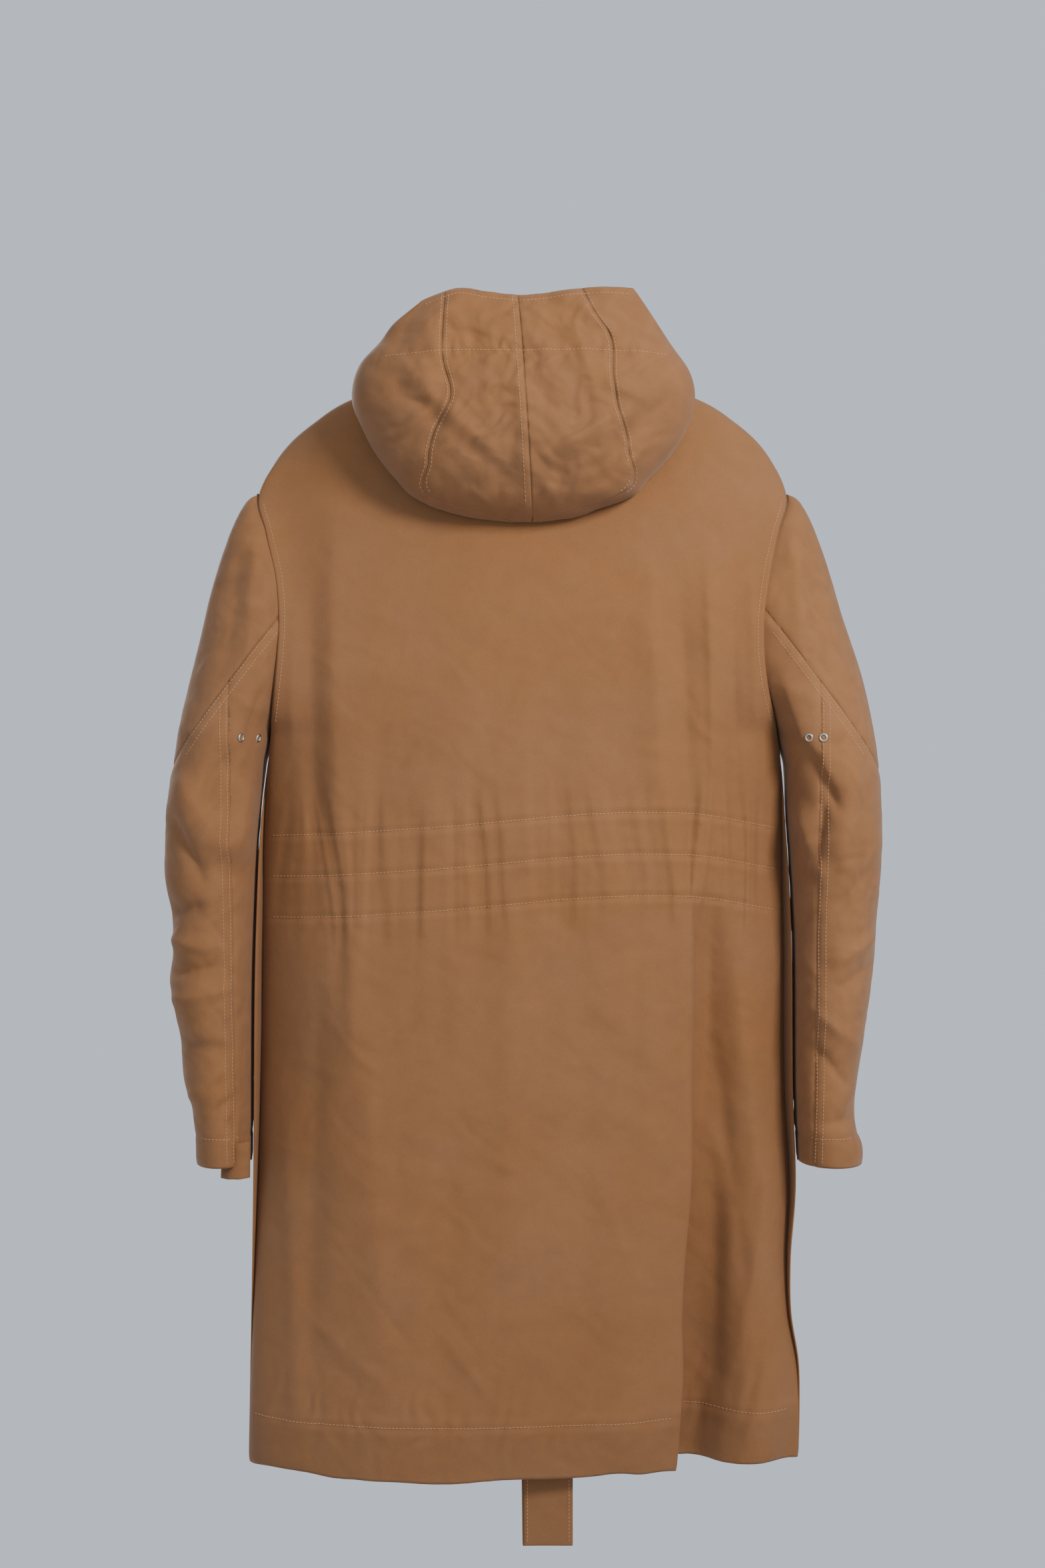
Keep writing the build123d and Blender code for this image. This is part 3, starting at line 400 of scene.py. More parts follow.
def back_y(x, z):
    """Depth of the coat's back at x and z."""
    share = np.clip(np.abs(x) / reach(x, z), 0, 1) * np.where(x >= 0, 1, -1)
    middle, left, right = back_middle(z), back_left(z), back_right(z)
    lean = left - right
    bend = 2 * (left + right) - 4 * middle
    wanted = middle + lean * share + bend * share ** 2
    edge = back_edge_y(z)
    power = 2.3 + 0.9 * ease(-120, -240, z) * ease(-900, -500, z)
    rounded = (1 - np.abs(share) ** power) ** (1 / power)
    behind_tuck = -tuck_share(z) * right_x(z) - x
    tuck = tuck_depth(z) * ease(0, 4.5, behind_tuck) * tuck_profile(behind_tuck)
    at_armhole = bump(0, 2.0, np.abs(x) - reach(x, z)) * ease(-84, -92, z) * ease(-316, -308, z)
    return edge + (wanted - edge) * rounded + back_folds(x, z) - tuck - 0.5 * at_armhole


def back_places(rows):
    """The back's points, from the right side seam to the left one, closer together at the tuck."""
    z = rows[:, None]
    left, right = left_x(z), right_x(z)
    tuck = -tuck_share(z) * right
    s = np.linspace(0, 1, 56)[None, :]
    beyond = -right + (tuck - 4.5 + right) * (0.6 * s + 0.4 * (1 - np.cos(s * math.pi / 2)))
    step = tuck - 4.5 + 4.5 * np.linspace(0, 1, 6)[None, 1:]
    s = np.linspace(0, 1, 152)[None, 1:]
    rest = tuck + (left - tuck) * (0.6 * s + 0.4 * np.sin(s * math.pi / 2))
    x = np.concatenate([beyond, step, rest], axis=1)
    z = np.broadcast_to(z, x.shape)
    y = back_y(x, z)
    over = 4.0 * (tuck_depth(z) / 56) * bump(0, 3.2, x - tuck)
    wave = 1.6 * crumple(x, 0 * z, 150, 21, 2) + 2.0 * bump(80, 60, x) - 2.5 * bump(250, 30, x)
    wave = wave * ease(HEM + 60, HEM, z)
    return np.stack([x - over, y, z - wave], axis=-1)


def front_plane_y(z):
    """Depth of the flat that the open fronts hang in."""
    return -(48 + FRONT_SLOPE * (NECK - z))


def fold_x(z):
    """Where the line that a front folds back along passes height z."""
    return EDGE_X + (NECK - z) / (NECK - HEM) * (FOLD_HEM_X - EDGE_X)


def front_places(sign, rows, low_share=0.0, high_share=1.0, columns=110):
    """A front's points between two shares of the way from its open edge to its side seam."""
    z = rows[:, None]
    side = left_x(z) if sign > 0 else right_x(z)
    s = np.linspace(low_share, high_share, columns)[None, :]
    x = EDGE_X + (side - EDGE_X) * (0.6 * s + 0.4 * np.sin(s * math.pi / 2))
    z = np.broadcast_to(z, x.shape)
    flat = 0.88 * fold_x(z)
    beyond = np.clip((x - flat) / np.maximum(side - flat, 1), 0, 1)
    edge = front_edge_y(z)
    rounded = (1 - beyond ** 2.3) ** (1 / 2.3)
    soft = ease(74, 120, x) * (1 - beyond ** 6)
    wander = x + 10 * crumple(x, z * 0.3, 200, 31 + sign, 2)
    folds = 5.0 * np.sin(2 * math.pi * wander / 66) * ease(-250, -700, z)
    folds = folds + 1.5 * crumple(x, z, 160, 33 + sign) + 0.4 * crumple(x, z, 48, 35 + sign)
    at_edge = 1.6 * bump(0, 1.6, x - EDGE_X)
    at_armhole = 1.4 * bump(0, 2.0, x - side) * ease(-84, -92, z) * ease(-316, -308, z)
    y = edge + (front_plane_y(z) - edge) * rounded - folds * soft + at_edge + 0.5 * at_armhole
    neckline = 24 * ease(76, EDGE_X, x) ** 0.8 * ease(-80, NECK, z)
    places = np.stack([sign * x, y, z - neckline], axis=-1)
    return places[:, ::-1] if sign > 0 else places


def turned_edge(places, rows=3, depth=0.9):
    """The grid with its last rows drawn in, as cloth is where it turns up behind itself."""
    drawn = inward(places, depth)
    share = np.zeros(len(places))
    share[-rows:] = np.linspace(0, 1, rows + 1)[1:] ** 2
    return places + (drawn - places) * share[:, None, None]


# ---------------------------------------------------------------- sleeve shape

# Outer outline of each sleeve and the depth of both, by height
sleeve_out = {
    1: through(
        (-86, 249), (-88, 254), (-92, 259), (-98, 263), (-107, 268), (-134, 279), (-168, 290),
        (-223, 303), (-278, 316), (-333, 326), (-410, 334), (-444, 334), (-480, 328), (-512, 327),
        (-537, 330), (-565, 325), (-594, 320), (-631, 317), (-659, 309), (-685, 306), (CUFF, 306),
    ),
    -1: through(
        (-86, 246), (-88, 251), (-92, 256), (-98, 260), (-107, 265), (-134, 276), (-168, 287),
        (-190, 293), (-256, 314), (-322, 327), (-379, 332), (-420, 332), (-475, 328), (-530, 324),
        (-572, 318), (-613, 312), (-654, 307), (-677, 309), (-690, 314), (CUFF, 315),
    ),
}
sleeve_depth = through(
    (-86, 5), (-88, 8), (-92, 13), (-98, 19), (-107, 26), (-124, 34), (-168, 49), (-204, 59),
    (-262, 69), (-314, 76), (-430, 76), (-500, 67), (-540, 70), (-620, 61), (CUFF, 55),
)
# Lines of the sleeve's back seams, as two (x, z) ends each
CAP_SEAM = ((227.0, -207.0), (312.0, -322.0))
UNDER_SEAM = ((268.0, -262.5), (264.0, CUFF))


def cap_seam_distance(x, z):
    """How far a point, seen from behind, is above the line of the sleeve's back seam."""
    (ax, az), (bx, bz) = CAP_SEAM
    return ((bx - ax) * (z - az) - (bz - az) * (x - ax)) / math.hypot(bx - ax, bz - az)


def under_seam_x(z):
    """Where the seam down the inside of the sleeve's back runs."""
    (ax, az), (bx, bz) = UNDER_SEAM
    return ax + (bx - ax) * (z - az) / (bz - az)


# Folds of each sleeve, and those that both have; x is counted outwards from the middle
SLEEVE_FOLDS = {
    1: (
        ((228, -240), (262, -345), 9, 6.0, 0.4), ((238, -262), (256, -330), 7, -6.5),
        ((316, -340), (266, -428), 13, 9.0, 0.5), ((322, -382), (286, -450), 9, -6.0),
        ((252, -350), (268, -424), 9, 7.0, -0.4), ((262, -320), (300, -392), 12, -5.0),
        ((334, -474), (286, -466), 8, -6.0), ((330, -498), (272, -506), 9, 5.5),
        ((332, -530), (270, -522), 7, -5.0), ((328, -556), (262, -540), 8, 4.0),
        ((322, -590), (262, -600), 9, -3.6), ((270, -610), (312, -650), 8, 3.4),
        ((262, -640), (304, -672), 6, -2.4),
    ),
    -1: (
        ((236, -262), (280, -372), 9, 7.0, 0.5), ((256, -318), (284, -382), 7, -8.5),
        ((272, -366), (262, -440), 7, -6.0), ((300, -330), (284, -436), 11, 6.0, -0.4),
        ((250, -372), (272, -452), 8, 5.0), ((318, -430), (276, -476), 10, -4.5),
        ((326, -492), (276, -520), 9, 5.0), ((322, -520), (272, -548), 8, -4.0),
        ((260, -556), (308, -600), 8, 3.6), ((256, -590), (300, -634), 7, -3.4),
        ((312, -660), (262, -668), 7, -2.4),
    ),
}
SHOULDER_FOLDS = (((246, -120), (252, -250), 9, 2.6), ((262, -150), (272, -262), 12, -2.4))


def sleeve_folds(sign, x, z):
    """How far the folds on the back of a sleeve stand out."""
    out = folds_of(x, z, SLEEVE_FOLDS[sign] + SHOULDER_FOLDS)
    return 1.15 * out + 0.7 * crumple(x, z, 120, 61 + sign) + 0.3 * crumple(x, z, 40, 63 + sign)


def sleeve_places(sign, rows, columns=141):
    """A sleeve's points, round it from the back of its inner side to the front of it."""
    z = rows[:, None]
    turn = np.linspace(1, -1, columns)[None, :]
    outer, depth = sleeve_out[sign](z), sleeve_depth(z)
    body = left_x(z) if sign > 0 else right_x(z)
    inner = body + 2.6 * ease(UNDERARM, UNDERARM - 24, z)
    edge = np.where(turn > 0, back_edge_y(z), -front_edge_y(z)) * ease(-322, -300, z)
    end = math.pi - np.arcsin(np.clip(edge / depth, 0, 0.999))
    half = (outer - inner) / (1 - np.cos(end))
    angle = turn * end
    x = outer - half + half * np.cos(angle)
    y = depth * np.sign(np.sin(angle)) * np.abs(np.sin(angle)) ** 0.94
    z = np.broadcast_to(z, x.shape) + 0.0 * x
    away = np.stack([np.cos(angle) / half, np.sin(angle) / depth], axis=-1)
    away /= np.linalg.norm(away, axis=-1, keepdims=True)
    from_end = (1 - np.abs(turn)) * end * (half + depth) / 2
    at_end = bump(0, 2.0, from_end) * ease(UNDERARM - 2, UNDERARM + 6, z)
    fade = ease(-92, -130, z) * ease(0, 16, from_end)
    behind = sleeve_folds(sign, x, z) * ease(0.08, 0.6, np.sin(angle))
    before = 0.8 * crumple(x + y, z, 110, 71 + sign) * ease(0, -20, y)
    stand = behind + before
    cuff_seam = z - CUFF - 27
    stand = stand * fade * ease(CUFF, CUFF + 40, z) - 0.5 * at_end - 0.7 * bump(0, 2.0, cuff_seam)
    seam = cap_seam_distance(x, z)
    stand = stand - 1.0 * bump(0, 1.6, seam) + 0.5 * bump(-6, 3.5, seam)
    under = (x - under_seam_x(z)) * (seam < 0)
    stand = stand - 1.0 * bump(0, 1.6, under) * (seam < 0) + 0.4 * bump(6, 3.5, under) * (seam < 0)
    x = x + stand * away[..., 0]
    y = y + stand * away[..., 1]
    # beyond the armhole's seam the cloth carries on a little, under the body's
    hidden = ease(UNDERARM - 4, UNDERARM + 1, z[:, :1])
    x = np.concatenate([x[:, :1] - 4 * hidden, x, x[:, -1:] - 4 * hidden], axis=1)
    y = np.concatenate([y[:, :1] - 2 * hidden, y, y[:, -1:] + 2 * hidden], axis=1)
    z = np.concatenate([z[:, :1], z, z[:, -1:]], axis=1)
    places = np.stack([sign * x, y, z], axis=-1)
    return places if sign > 0 else places[:, ::-1]


# ---------------------------------------------------------------- hood shape

HOOD_TOP = 84.0
HOOD_FOOT = -118.0
HOOD_CORNER = -98.0       # the hood is drawn in below this
HOOD_TUNNEL = 58.0        # how far the rim is turned in
# Half widths, depths and seams of the hanging hood by height, and its rim's rise by distance sideways
hood_left_x = through(
    (HOOD_TOP, 92), (64, 118), (45, 132), (24, 150), (4, 157), (-10, 157), (-30, 149), (-50, 139),
    (-78, 118), (-98, 96), (-108, 72), (-114, 46), (HOOD_FOOT, 12),
)
hood_right_x = through(
    (HOOD_TOP, 97), (64, 114), (39, 134), (18, 150), (0, 155), (-18, 153), (-47, 140), (-78, 114),
    (-98, 90), (-106, 66), (-114, 42), (HOOD_FOOT, 12),
)
hood_far = through(
    (HOOD_TOP, 111), (64, 122), (40, 131), (0, 138), (-30, 138), (-60, 131), (-85, 117), (-100, 101),
    (-110, 84), (-116, 68), (HOOD_FOOT, 60),
)
hood_near = through(
    (HOOD_FOOT, HOOD_NEAR), (28, HOOD_NEAR), (36, HOOD_NEAR + 3), (HOOD_TOP, HOOD_NEAR + 44),
)
hood_rim = through(
    (-97, 2.0), (-60, 1.5), (-20, -3.0), (0, -5.0), (30, -3.0), (62, 0.5), (78, -4.0), (92, -9.0),
)
hood_seam_left = through(
    (HOOD_TOP, 71), (17, 72), (-18, 66), (-42, 79), (-70, 86), (-100, 78), (HOOD_FOOT, 10),
)
hood_seam_middle = through((HOOD_TOP, 6), (0, 0), (HOOD_FOOT, -7))
hood_seam_right = through(
    (HOOD_TOP, -51), (55, -65), (44, -73), (0, -78), (-24, -82), (-58, -92), (-100, -76), (HOOD_FOOT, -11),
)
HOOD_SEAMS = (hood_seam_left, hood_seam_middle, hood_seam_right)


def hood_share(x, z):
    """How far x is from the middle, as a share of the hood's half width."""
    return x / np.where(x >= 0, hood_left_x(z), hood_right_x(z))


HOOD_FOLDS = (
    ((128, 36), (66, -28), 12, 6.0, 0.5), ((80, -18), (16, -74), 12, 6.0, 0.5),
    ((124, 10), (60, -50), 11, -7.0), ((64, -46), (4, -92), 10, -4.5),
    ((-140, 16), (-78, -36), 12, 6.5, -0.5), ((-90, -28), (-20, -68), 12, 6.0, -0.5),
    ((-132, -10), (-74, -58), 11, -7.0), ((-74, -54), (-12, -86), 10, -4.5), ((0, -20), (-4, -84), 16, 4.0),
    ((96, 72), (64, 10), 11, 3.0), ((50, 70), (40, 8), 10, -2.4), ((28, 66), (34, -10), 9, 2.2),
    ((-24, 64), (-34, 6), 10, -2.8), ((-40, 60), (-62, -12), 9, 3.2), ((-96, 74), (-84, 14), 10, -3.0),
    ((-112, 60), (-98, 4), 9, 3.0), ((-18, 40), (-30, -30), 8, 2.0),
)


def hood_folds(x, z):
    """How far the folds of the hood stand out."""
    out = folds_of(x, z, HOOD_FOLDS)
    for seam in HOOD_SEAMS:
        out = out - 0.8 * bump(0, 1.8, x - seam(z)) + 0.6 * bump(5, 4, x - seam(z))
    out = out - 0.9 * bump(0, 2.0, z - HOOD_TOP + HOOD_TUNNEL)
    gathers = np.sin(2 * math.pi * (x + 8 * crumple(x, z, 70, 81, 2)) / 15)
    out = out + 0.7 * gathers * bump(HOOD_TOP - HOOD_TUNNEL, 9, z)
    return out + 1.6 * crumple(x, z, 90, 83) + 0.6 * crumple(x, z, 30, 84)


def hood_outer(rows, shares):
    """Points on the outside of the hood; rows are heights and shares run across it for each height."""
    z = rows[:, None]
    left, right = hood_left_x(z), hood_right_x(z)
    x = np.where(shares >= 0, shares * left, shares * right)
    near, far = hood_near(z), hood_far(z)
    rounded = (1 - np.abs(shares) ** 2.4) ** (1 / 2.4)
    inner = 1 - np.abs(shares) ** 5
    z = z + 0.0 * x
    stand = hood_folds(x, z) * inner * ease(HOOD_FOOT, HOOD_CORNER, z)
    top = hood_rim(x) * ease(20, HOOD_TOP, z)
    y = near + (far - near) * rounded + stand
    lip = 1.7 * ease(HOOD_TOP - 6, HOOD_TOP, z) ** 2
    return np.stack([x, y - lip * np.sign(rounded), z + top], axis=-1)


def hood_shares(rows, low, high, columns):
    """Shares across the hood from one seam to the next, each given as a share or a curve."""
    z = rows[:, None]
    ends = []
    for end in (low, high):
        if callable(end):
            ends.append(np.clip(hood_share(end(z), z), -0.93, 0.93))
        else:
            ends.append(np.full_like(z, end))
    s = np.linspace(0, 1, columns)[None, :]
    if high == 1.0:
        s = np.sin(s * math.pi / 2)
    if low == -1.0:
        s = 1 - np.cos(s * math.pi / 2)
    return ends[0] + (ends[1] - ends[0]) * s


# ---------------------------------------------------------------- finishes

def finish_of(name, colour, roughness):
    """A new material with its shader, ready for more."""
    material = bpy.data.materials.new(name)
    material.use_nodes = True
    shader = material.node_tree.nodes["Principled BSDF"]
    shader.inputs["Base Color"].default_value = (*colour, 1)
    shader.inputs["Roughness"].default_value = roughness
    return material, shader


def cotton(name, colour, mottle=0.04, weave=0.35, thread=0.00062):
    """Washed cotton: a fine plain weave, slight unevenness of the dye, and the mesh's tone, which lightens
    or darkens it with painted highlight beside seams, painted shade along seams and low on the back, paler
    edges and random unevenness.
    """
    material, shader = finish_of(name, colour, 0.88)
    shader.inputs["Sheen Weight"].default_value = 0.12
    shader.inputs["Sheen Roughness"].default_value = 0.45
    shader.inputs["Sheen Tint"].default_value = (1.0, 0.84, 0.68, 1)
    shader.inputs["Specular IOR Level"].default_value = 0.25
    nodes, links = material.node_tree.nodes, material.node_tree.links
    place = nodes.new("ShaderNodeTexCoord").outputs["Object"]

    def noise(scale, detail, roughness=0.55):
        node = nodes.new("ShaderNodeTexNoise")
        node.inputs["Scale"].default_value = scale
        node.inputs["Detail"].default_value = detail
        node.inputs["Roughness"].default_value = roughness
        links.new(place, node.inputs["Vector"])
        return node.outputs["Fac"]

    def ranged(value, low, high, start=0.3, end=0.7):
        node = nodes.new("ShaderNodeMapRange")
        for socket, number in zip(("From Min", "From Max", "To Min", "To Max"), (start, end, low, high)):
            node.inputs[socket].default_value = number
        links.new(value, node.inputs["Value"])
        return node.outputs["Result"]

    def maths(operation, a, b):
        node = nodes.new("ShaderNodeMath")
        node.operation = operation
        for socket, value in zip(node.inputs, (a, b)):
            if isinstance(value, (int, float)):
                socket.default_value = value
            else:
                links.new(value, socket)
        return node.outputs[0]

    def bands(direction):
        node = nodes.new("ShaderNodeTexWave")
        node.bands_direction = direction
        node.inputs["Scale"].default_value = math.pi / 10 / thread
        node.inputs["Distortion"].default_value = 0.6
        node.inputs["Detail"].default_value = 1.0
        links.new(place, node.inputs["Vector"])
        return node.outputs["Fac"]

    patches = ranged(noise(5.5, 3), 1 - mottle, 1 + mottle)
    slubs = ranged(noise(85, 4, 0.7), 1 - 0.5 * mottle, 1 + 0.5 * mottle)
    flecks = ranged(noise(900, 2), 0.95, 1.05)
    weft, warp = bands("Z"), bands("X")
    over = maths("MAXIMUM", weft, warp)
    # Tone attribute set per piece: painted highlight and painted shade about the seams, painted shade low
    # on the back, paler edges and random unevenness.
    tone = nodes.new("ShaderNodeAttribute")
    tone.attribute_name = "tone"
    wear_and_painted_light = maths("ADD", 1.0, maths("MULTIPLY", tone.outputs["Fac"], 0.32))
    brightness = maths("MULTIPLY", maths("MULTIPLY", patches, slubs), maths("MULTIPLY", flecks, wear_and_painted_light))
    brightness = maths("MULTIPLY", brightness, ranged(over, 0.955, 1.025, 0.3, 1.0))
    hue = nodes.new("ShaderNodeHueSaturation")
    hue.inputs["Color"].default_value = (*colour, 1)
    links.new(brightness, hue.inputs["Value"])
    links.new(ranged(noise(9, 2), 0.975, 1.02), hue.inputs["Saturation"])
    links.new(hue.outputs["Color"], shader.inputs["Base Color"])
    links.new(ranged(noise(60, 3), 0.82, 0.95), shader.inputs["Roughness"])
    fine = nodes.new("ShaderNodeBump")
    fine.inputs["Strength"].default_value = weave
    fine.inputs["Distance"].default_value = 0.00015
    links.new(over, fine.inputs["Height"])
    rumple = nodes.new("ShaderNodeBump")
    rumple.inputs["Strength"].default_value = 0.35
    rumple.inputs["Distance"].default_value = 0.0012
    links.new(noise(75, 5, 0.6), rumple.inputs["Height"])
    links.new(fine.outputs["Normal"], rumple.inputs["Normal"])
    links.new(rumple.outputs["Normal"], shader.inputs["Normal"])
    return material


def metal(name, colour, roughness):
    """Plated metal with a little tarnish."""
    material, shader = finish_of(name, colour, roughness)
    shader.inputs["Metallic"].default_value = 1.0
    nodes, links = material.node_tree.nodes, material.node_tree.links
    noise = nodes.new("ShaderNodeTexNoise")
    noise.inputs["Scale"].default_value = 400
    spread = nodes.new("ShaderNodeMapRange")
    spread.inputs["To Min"].default_value = roughness - 0.08
    spread.inputs["To Max"].default_value = roughness + 0.16
    links.new(nodes.new("ShaderNodeTexCoord").outputs["Object"], noise.inputs["Vector"])
    links.new(noise.outputs["Fac"], spread.inputs["Value"])
    links.new(spread.outputs["Result"], shader.inputs["Roughness"])
    return material


TAN = (0.218, 0.096, 0.037)
shell = cotton("washed_cotton", TAN)
lining = cotton("cotton_inside", tuple(0.93 * c for c in TAN), mottle=0.03)
strap_cotton = cotton("strap_cotton", tuple(0.90 * c for c in TAN), thread=0.0008)
pocketing = cotton("pocket_cotton", (0.30, 0.25, 0.19), mottle=0.05, thread=0.0005)
woven_tape = cotton("zip_tape_weave", (0.13, 0.065, 0.032), mottle=0.04, weave=0.6, thread=0.0008)
elastic = cotton("elastic_band", (0.48, 0.45, 0.39), mottle=0.04, weave=0.8, thread=0.0012)
thread = cotton("sewing_thread", (0.37, 0.20, 0.10), mottle=0.05, weave=0.1)
brass = metal("dark_brass", (0.30, 0.22, 0.13), 0.38)
steel = metal("dull_nickel", (0.46, 0.44, 0.40), 0.34)


def dress(piece, material, nodes=(), body=None):
    """Give a piece its finish, hide the CAD nodes it stands in for, and parent it to the empty of the body
    it rides on.
    """
    piece.data.materials.clear()
    piece.data.materials.append(material)
    if nodes:
        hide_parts(*nodes)
    if body:
        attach(piece, body)
    return piece


def across_fold(piece):
    """Cloth of a front: its transform baked into its mesh."""
    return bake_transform(piece)


def under_arm(piece):
    """Cloth of a sleeve: its transform baked into its mesh."""
    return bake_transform(piece)


# ---------------------------------------------------------------- coat body

HEM_HEIGHT = 48.0
body_rows = np.concatenate([spaced(NECK, TIP, 1.7), spaced(TIP, HEM, 2.9)[1:]])
back_grid = back_places(body_rows)
body_z = body_rows[:, None]
back_x, back_z = back_grid[..., 0], back_grid[..., 2]
# Tone of the back: painted shade along each waist line with painted highlight beside it, painted highlight
# just above the hem band's stitching, painted shade darker towards the hem, the hem band darker partly by
# its own colour and partly by painted shade, paler at the hem's folded edge, and random unevenness.
back_tone_and_painted_light = -0.25 * ease(HEM + 60, HEM + 30, body_z) * np.ones(back_grid.shape[:2])
for line in WAIST_LINES:
    off = back_z - waist_warp(back_x) - line
    back_tone_and_painted_light += 0.22 * bump(0, 5, off) - 0.3 * bump(0, 1.5, off)
back_tone_and_painted_light += 0.25 * bump(0, 4, back_z - HEM) + 0.15 * bump(6, 5, back_z - HEM - HEM_BAND)
back_tone_and_painted_light += 0.03 * crumple(back_x, back_z, 35, 91, 2) - 0.16 * ease(-440, -900, body_z)
back_cloth = grid_mesh("back_cloth", turned_edge(back_grid), back_tone_and_painted_light)
back_tree = tree_of(back_cloth)
thicken(back_cloth)
dress(back_cloth, shell, ["back_panel"], "coat_body")

front_trees = {}
for side, sign in (("left", 1), ("right", -1)):
    grid = turned_edge(front_places(sign, body_rows))
    tone = 0.06 * crumple(grid[..., 0], grid[..., 2], 40, 93, 2)
    front_cloth = grid_mesh(f"front_cloth_{side}", grid, tone)
    front_trees[side] = tree_of(front_cloth)
    thicken(front_cloth)
    dress(front_cloth, shell, [f"front_side_{side}", f"front_panel_{side}"])
    across_fold(front_cloth)

# Turned-up hem inside the back and the fixed sides
hem_rows = spaced(HEM + HEM_HEIGHT, HEM + 0.6, 3.2)
parts = [grid_mesh("hem", inward(back_places(hem_rows), CLOTH + LAYER_GAP))]
for sign in (1, -1):
    share = (FOLD_HEM_X + 3 - EDGE_X) / (252 - EDGE_X)
    parts.append(grid_mesh("hem", inward(front_places(sign, hem_rows, share, 1.0, 30), CLOTH + LAYER_GAP)))
hem_turn_back = thicken(joined("hem_turn_back", parts))
dress(hem_turn_back, lining, ["hem_facing_back"], "coat_body")

# Waist casing inside the back, and the elastic under it
upper, middle, lower = WAIST_LINES
for name, node, high, low, inset, finish, slot in (
    ("waist_elastic_band_upper", "waist_elastic_upper", upper - 4, middle + 4, 0.4, elastic, "elastic"),
    ("waist_elastic_band_lower", "waist_elastic_lower", middle - 4, lower + 4, 0.4, elastic, "elastic"),
    ("waist_casing", "waist_channel", upper + 3, lower - 3, 2.2, lining, "tan_cotton"),
):
    grid = back_places(spaced(high, low, 2.5))[:, 6:-6]
    grid = grid + np.stack([0 * grid[..., 0], 0 * grid[..., 0], waist_warp(grid[..., 0])], axis=-1)
    grid[..., 1] = back_y(grid[..., 0], grid[..., 2])
    band = thicken(grid_mesh(name, inward(grid, CLOTH + inset)), 0.9)
    dress(band, finish, [node], "coat_body")

# Neck: facing inside the back, stand round the neck and loop to hang the coat by
neck_rows = spaced(NECK, NECK - 44, 2)
grid = back_places(neck_rows)
grid = inward(grid, CLOTH + LAYER_GAP)
grid[..., 0] *= np.minimum(1, 74 / np.maximum(np.abs(grid[..., 0]).max(axis=1, keepdims=True), 1))
neck_lining = thicken(grid_mesh("neck_facing_cloth", grid))
dress(neck_lining, lining, ["neck_facing"], "coat_body")

turn = np.linspace(math.radians(-39), math.radians(219), 90)[None, :]
height = np.linspace(1, 0, 9)[:, None]
ring_x = 80 * np.sign(np.cos(turn)) * np.abs(np.cos(turn)) ** 0.8
ring_y = 47 * np.sign(np.sin(turn)) * np.abs(np.sin(turn)) ** 0.9
grow = 1 + 0.012 * crumple(60 * turn, 20 * height, 50, 97, 2) - 0.03 * height
stand_z = NECK - 3 + 21 * height - 22 * ease(26, -48, ring_y)
stand_grid = np.stack([-ring_x * grow, ring_y * grow, stand_z], axis=-1)
hood_stand_cloth = thicken(grid_mesh("hood_stand_cloth", stand_grid[:, ::-1]), 2.4)
dress(hood_stand_cloth, shell, ["hood_stand"], "coat_body")

arc = np.linspace(0, math.pi, 40)[None, :]
level = np.linspace(1, 0, 5)[:, None]
loop_grid = np.stack([
    -30 * np.cos(arc) + 0 * level, 43.5 - 8.2 * np.sin(arc) ** 0.7 + 0.4 * np.sin(3 * arc) * level,
    NECK - 6.5 + 6 * level - 2.0 * np.sin(arc),
], axis=-1)
hanging_loop = thicken(grid_mesh("hanging_loop", loop_grid), 1.3)
dress(hanging_loop, strap_cotton, ["hang_loop"], "coat_body")


# ---------------------------------------------------------------- sleeves

def plane_along(sign, start, end, keep_above):
    """A cutting plane through a line seen from behind, keeping one side of it."""
    (ax, az), (bx, bz) = start, end
    normal = Vector((-(bz - az), 0, bx - ax)).normalized()
    if normal.z < 0 or (abs(normal.z) < 1e-6 and normal.x < 0):
        normal = -normal
    normal = -normal if keep_above else normal
    return (sign * ax, 0, az), (sign * normal.x, 0, normal.z)


sleeve_rows = np.concatenate([TIP - 6 * np.linspace(0, 1, 9) ** 2, spaced(TIP - 6, CUFF, 2.6)[1:]])
cuff_rows = spaced(CUFF + 27, CUFF + 0.6, 2.6)
sleeve_trees = {}
for side, sign in (("left", 1), ("right", -1)):
    grid = sleeve_places(sign, sleeve_rows)
    x, z = sign * grid[..., 0], grid[..., 2]
    seam = cap_seam_distance(x, z)
    # Tone of the sleeve: painted shade along the cap seam with painted highlight beside it, paler at the
    # cuff's edge, darker over the cuff band, and random unevenness.
    tone = 0.22 * bump(-5, 5, seam) - 0.3 * bump(0, 1.4, seam)
    tone = tone + 0.22 * bump(3, 3, z - CUFF) - 0.12 * ease(CUFF + 40, CUFF + 20, z)
    tone = tone + 0.1 * crumple(grid[..., 0] + grid[..., 1], z, 34, 95, 2)
    whole = grid_mesh("sleeve", turned_edge(grid), tone)
    whole = joined("sleeve", [whole], 0.02)
    sleeve_trees[side] = tree_of(whole)
    below = plane_along(sign, *CAP_SEAM, False)
    above = plane_along(sign, *CAP_SEAM, True)
    inner_side = plane_along(sign, *UNDER_SEAM, True)
    outer_side = (inner_side[0], tuple(-c for c in inner_side[1]))
    if inner_side[1][0] * sign < 0:
        inner_side, outer_side = outer_side, inner_side
    for part, planes in (("cap", [above]), ("main", [below, outer_side]), ("under", [below, inner_side])):
        panel = thicken(cut(whole, f"sleeve_{part}_cloth_{side}", planes))
        dress(panel, shell, [f"sleeve_{side}_{part}"])
        under_arm(panel)
    bpy.data.objects.remove(whole)

    cuff_grid = inward(sleeve_places(sign, cuff_rows)[:, 2:-2], CLOTH + LAYER_GAP)
    cuff_turn = thicken(grid_mesh(f"cuff_turn_{side}", cuff_grid))
    dress(cuff_turn, lining, [f"cuff_facing_{side}"])
    under_arm(cuff_turn)

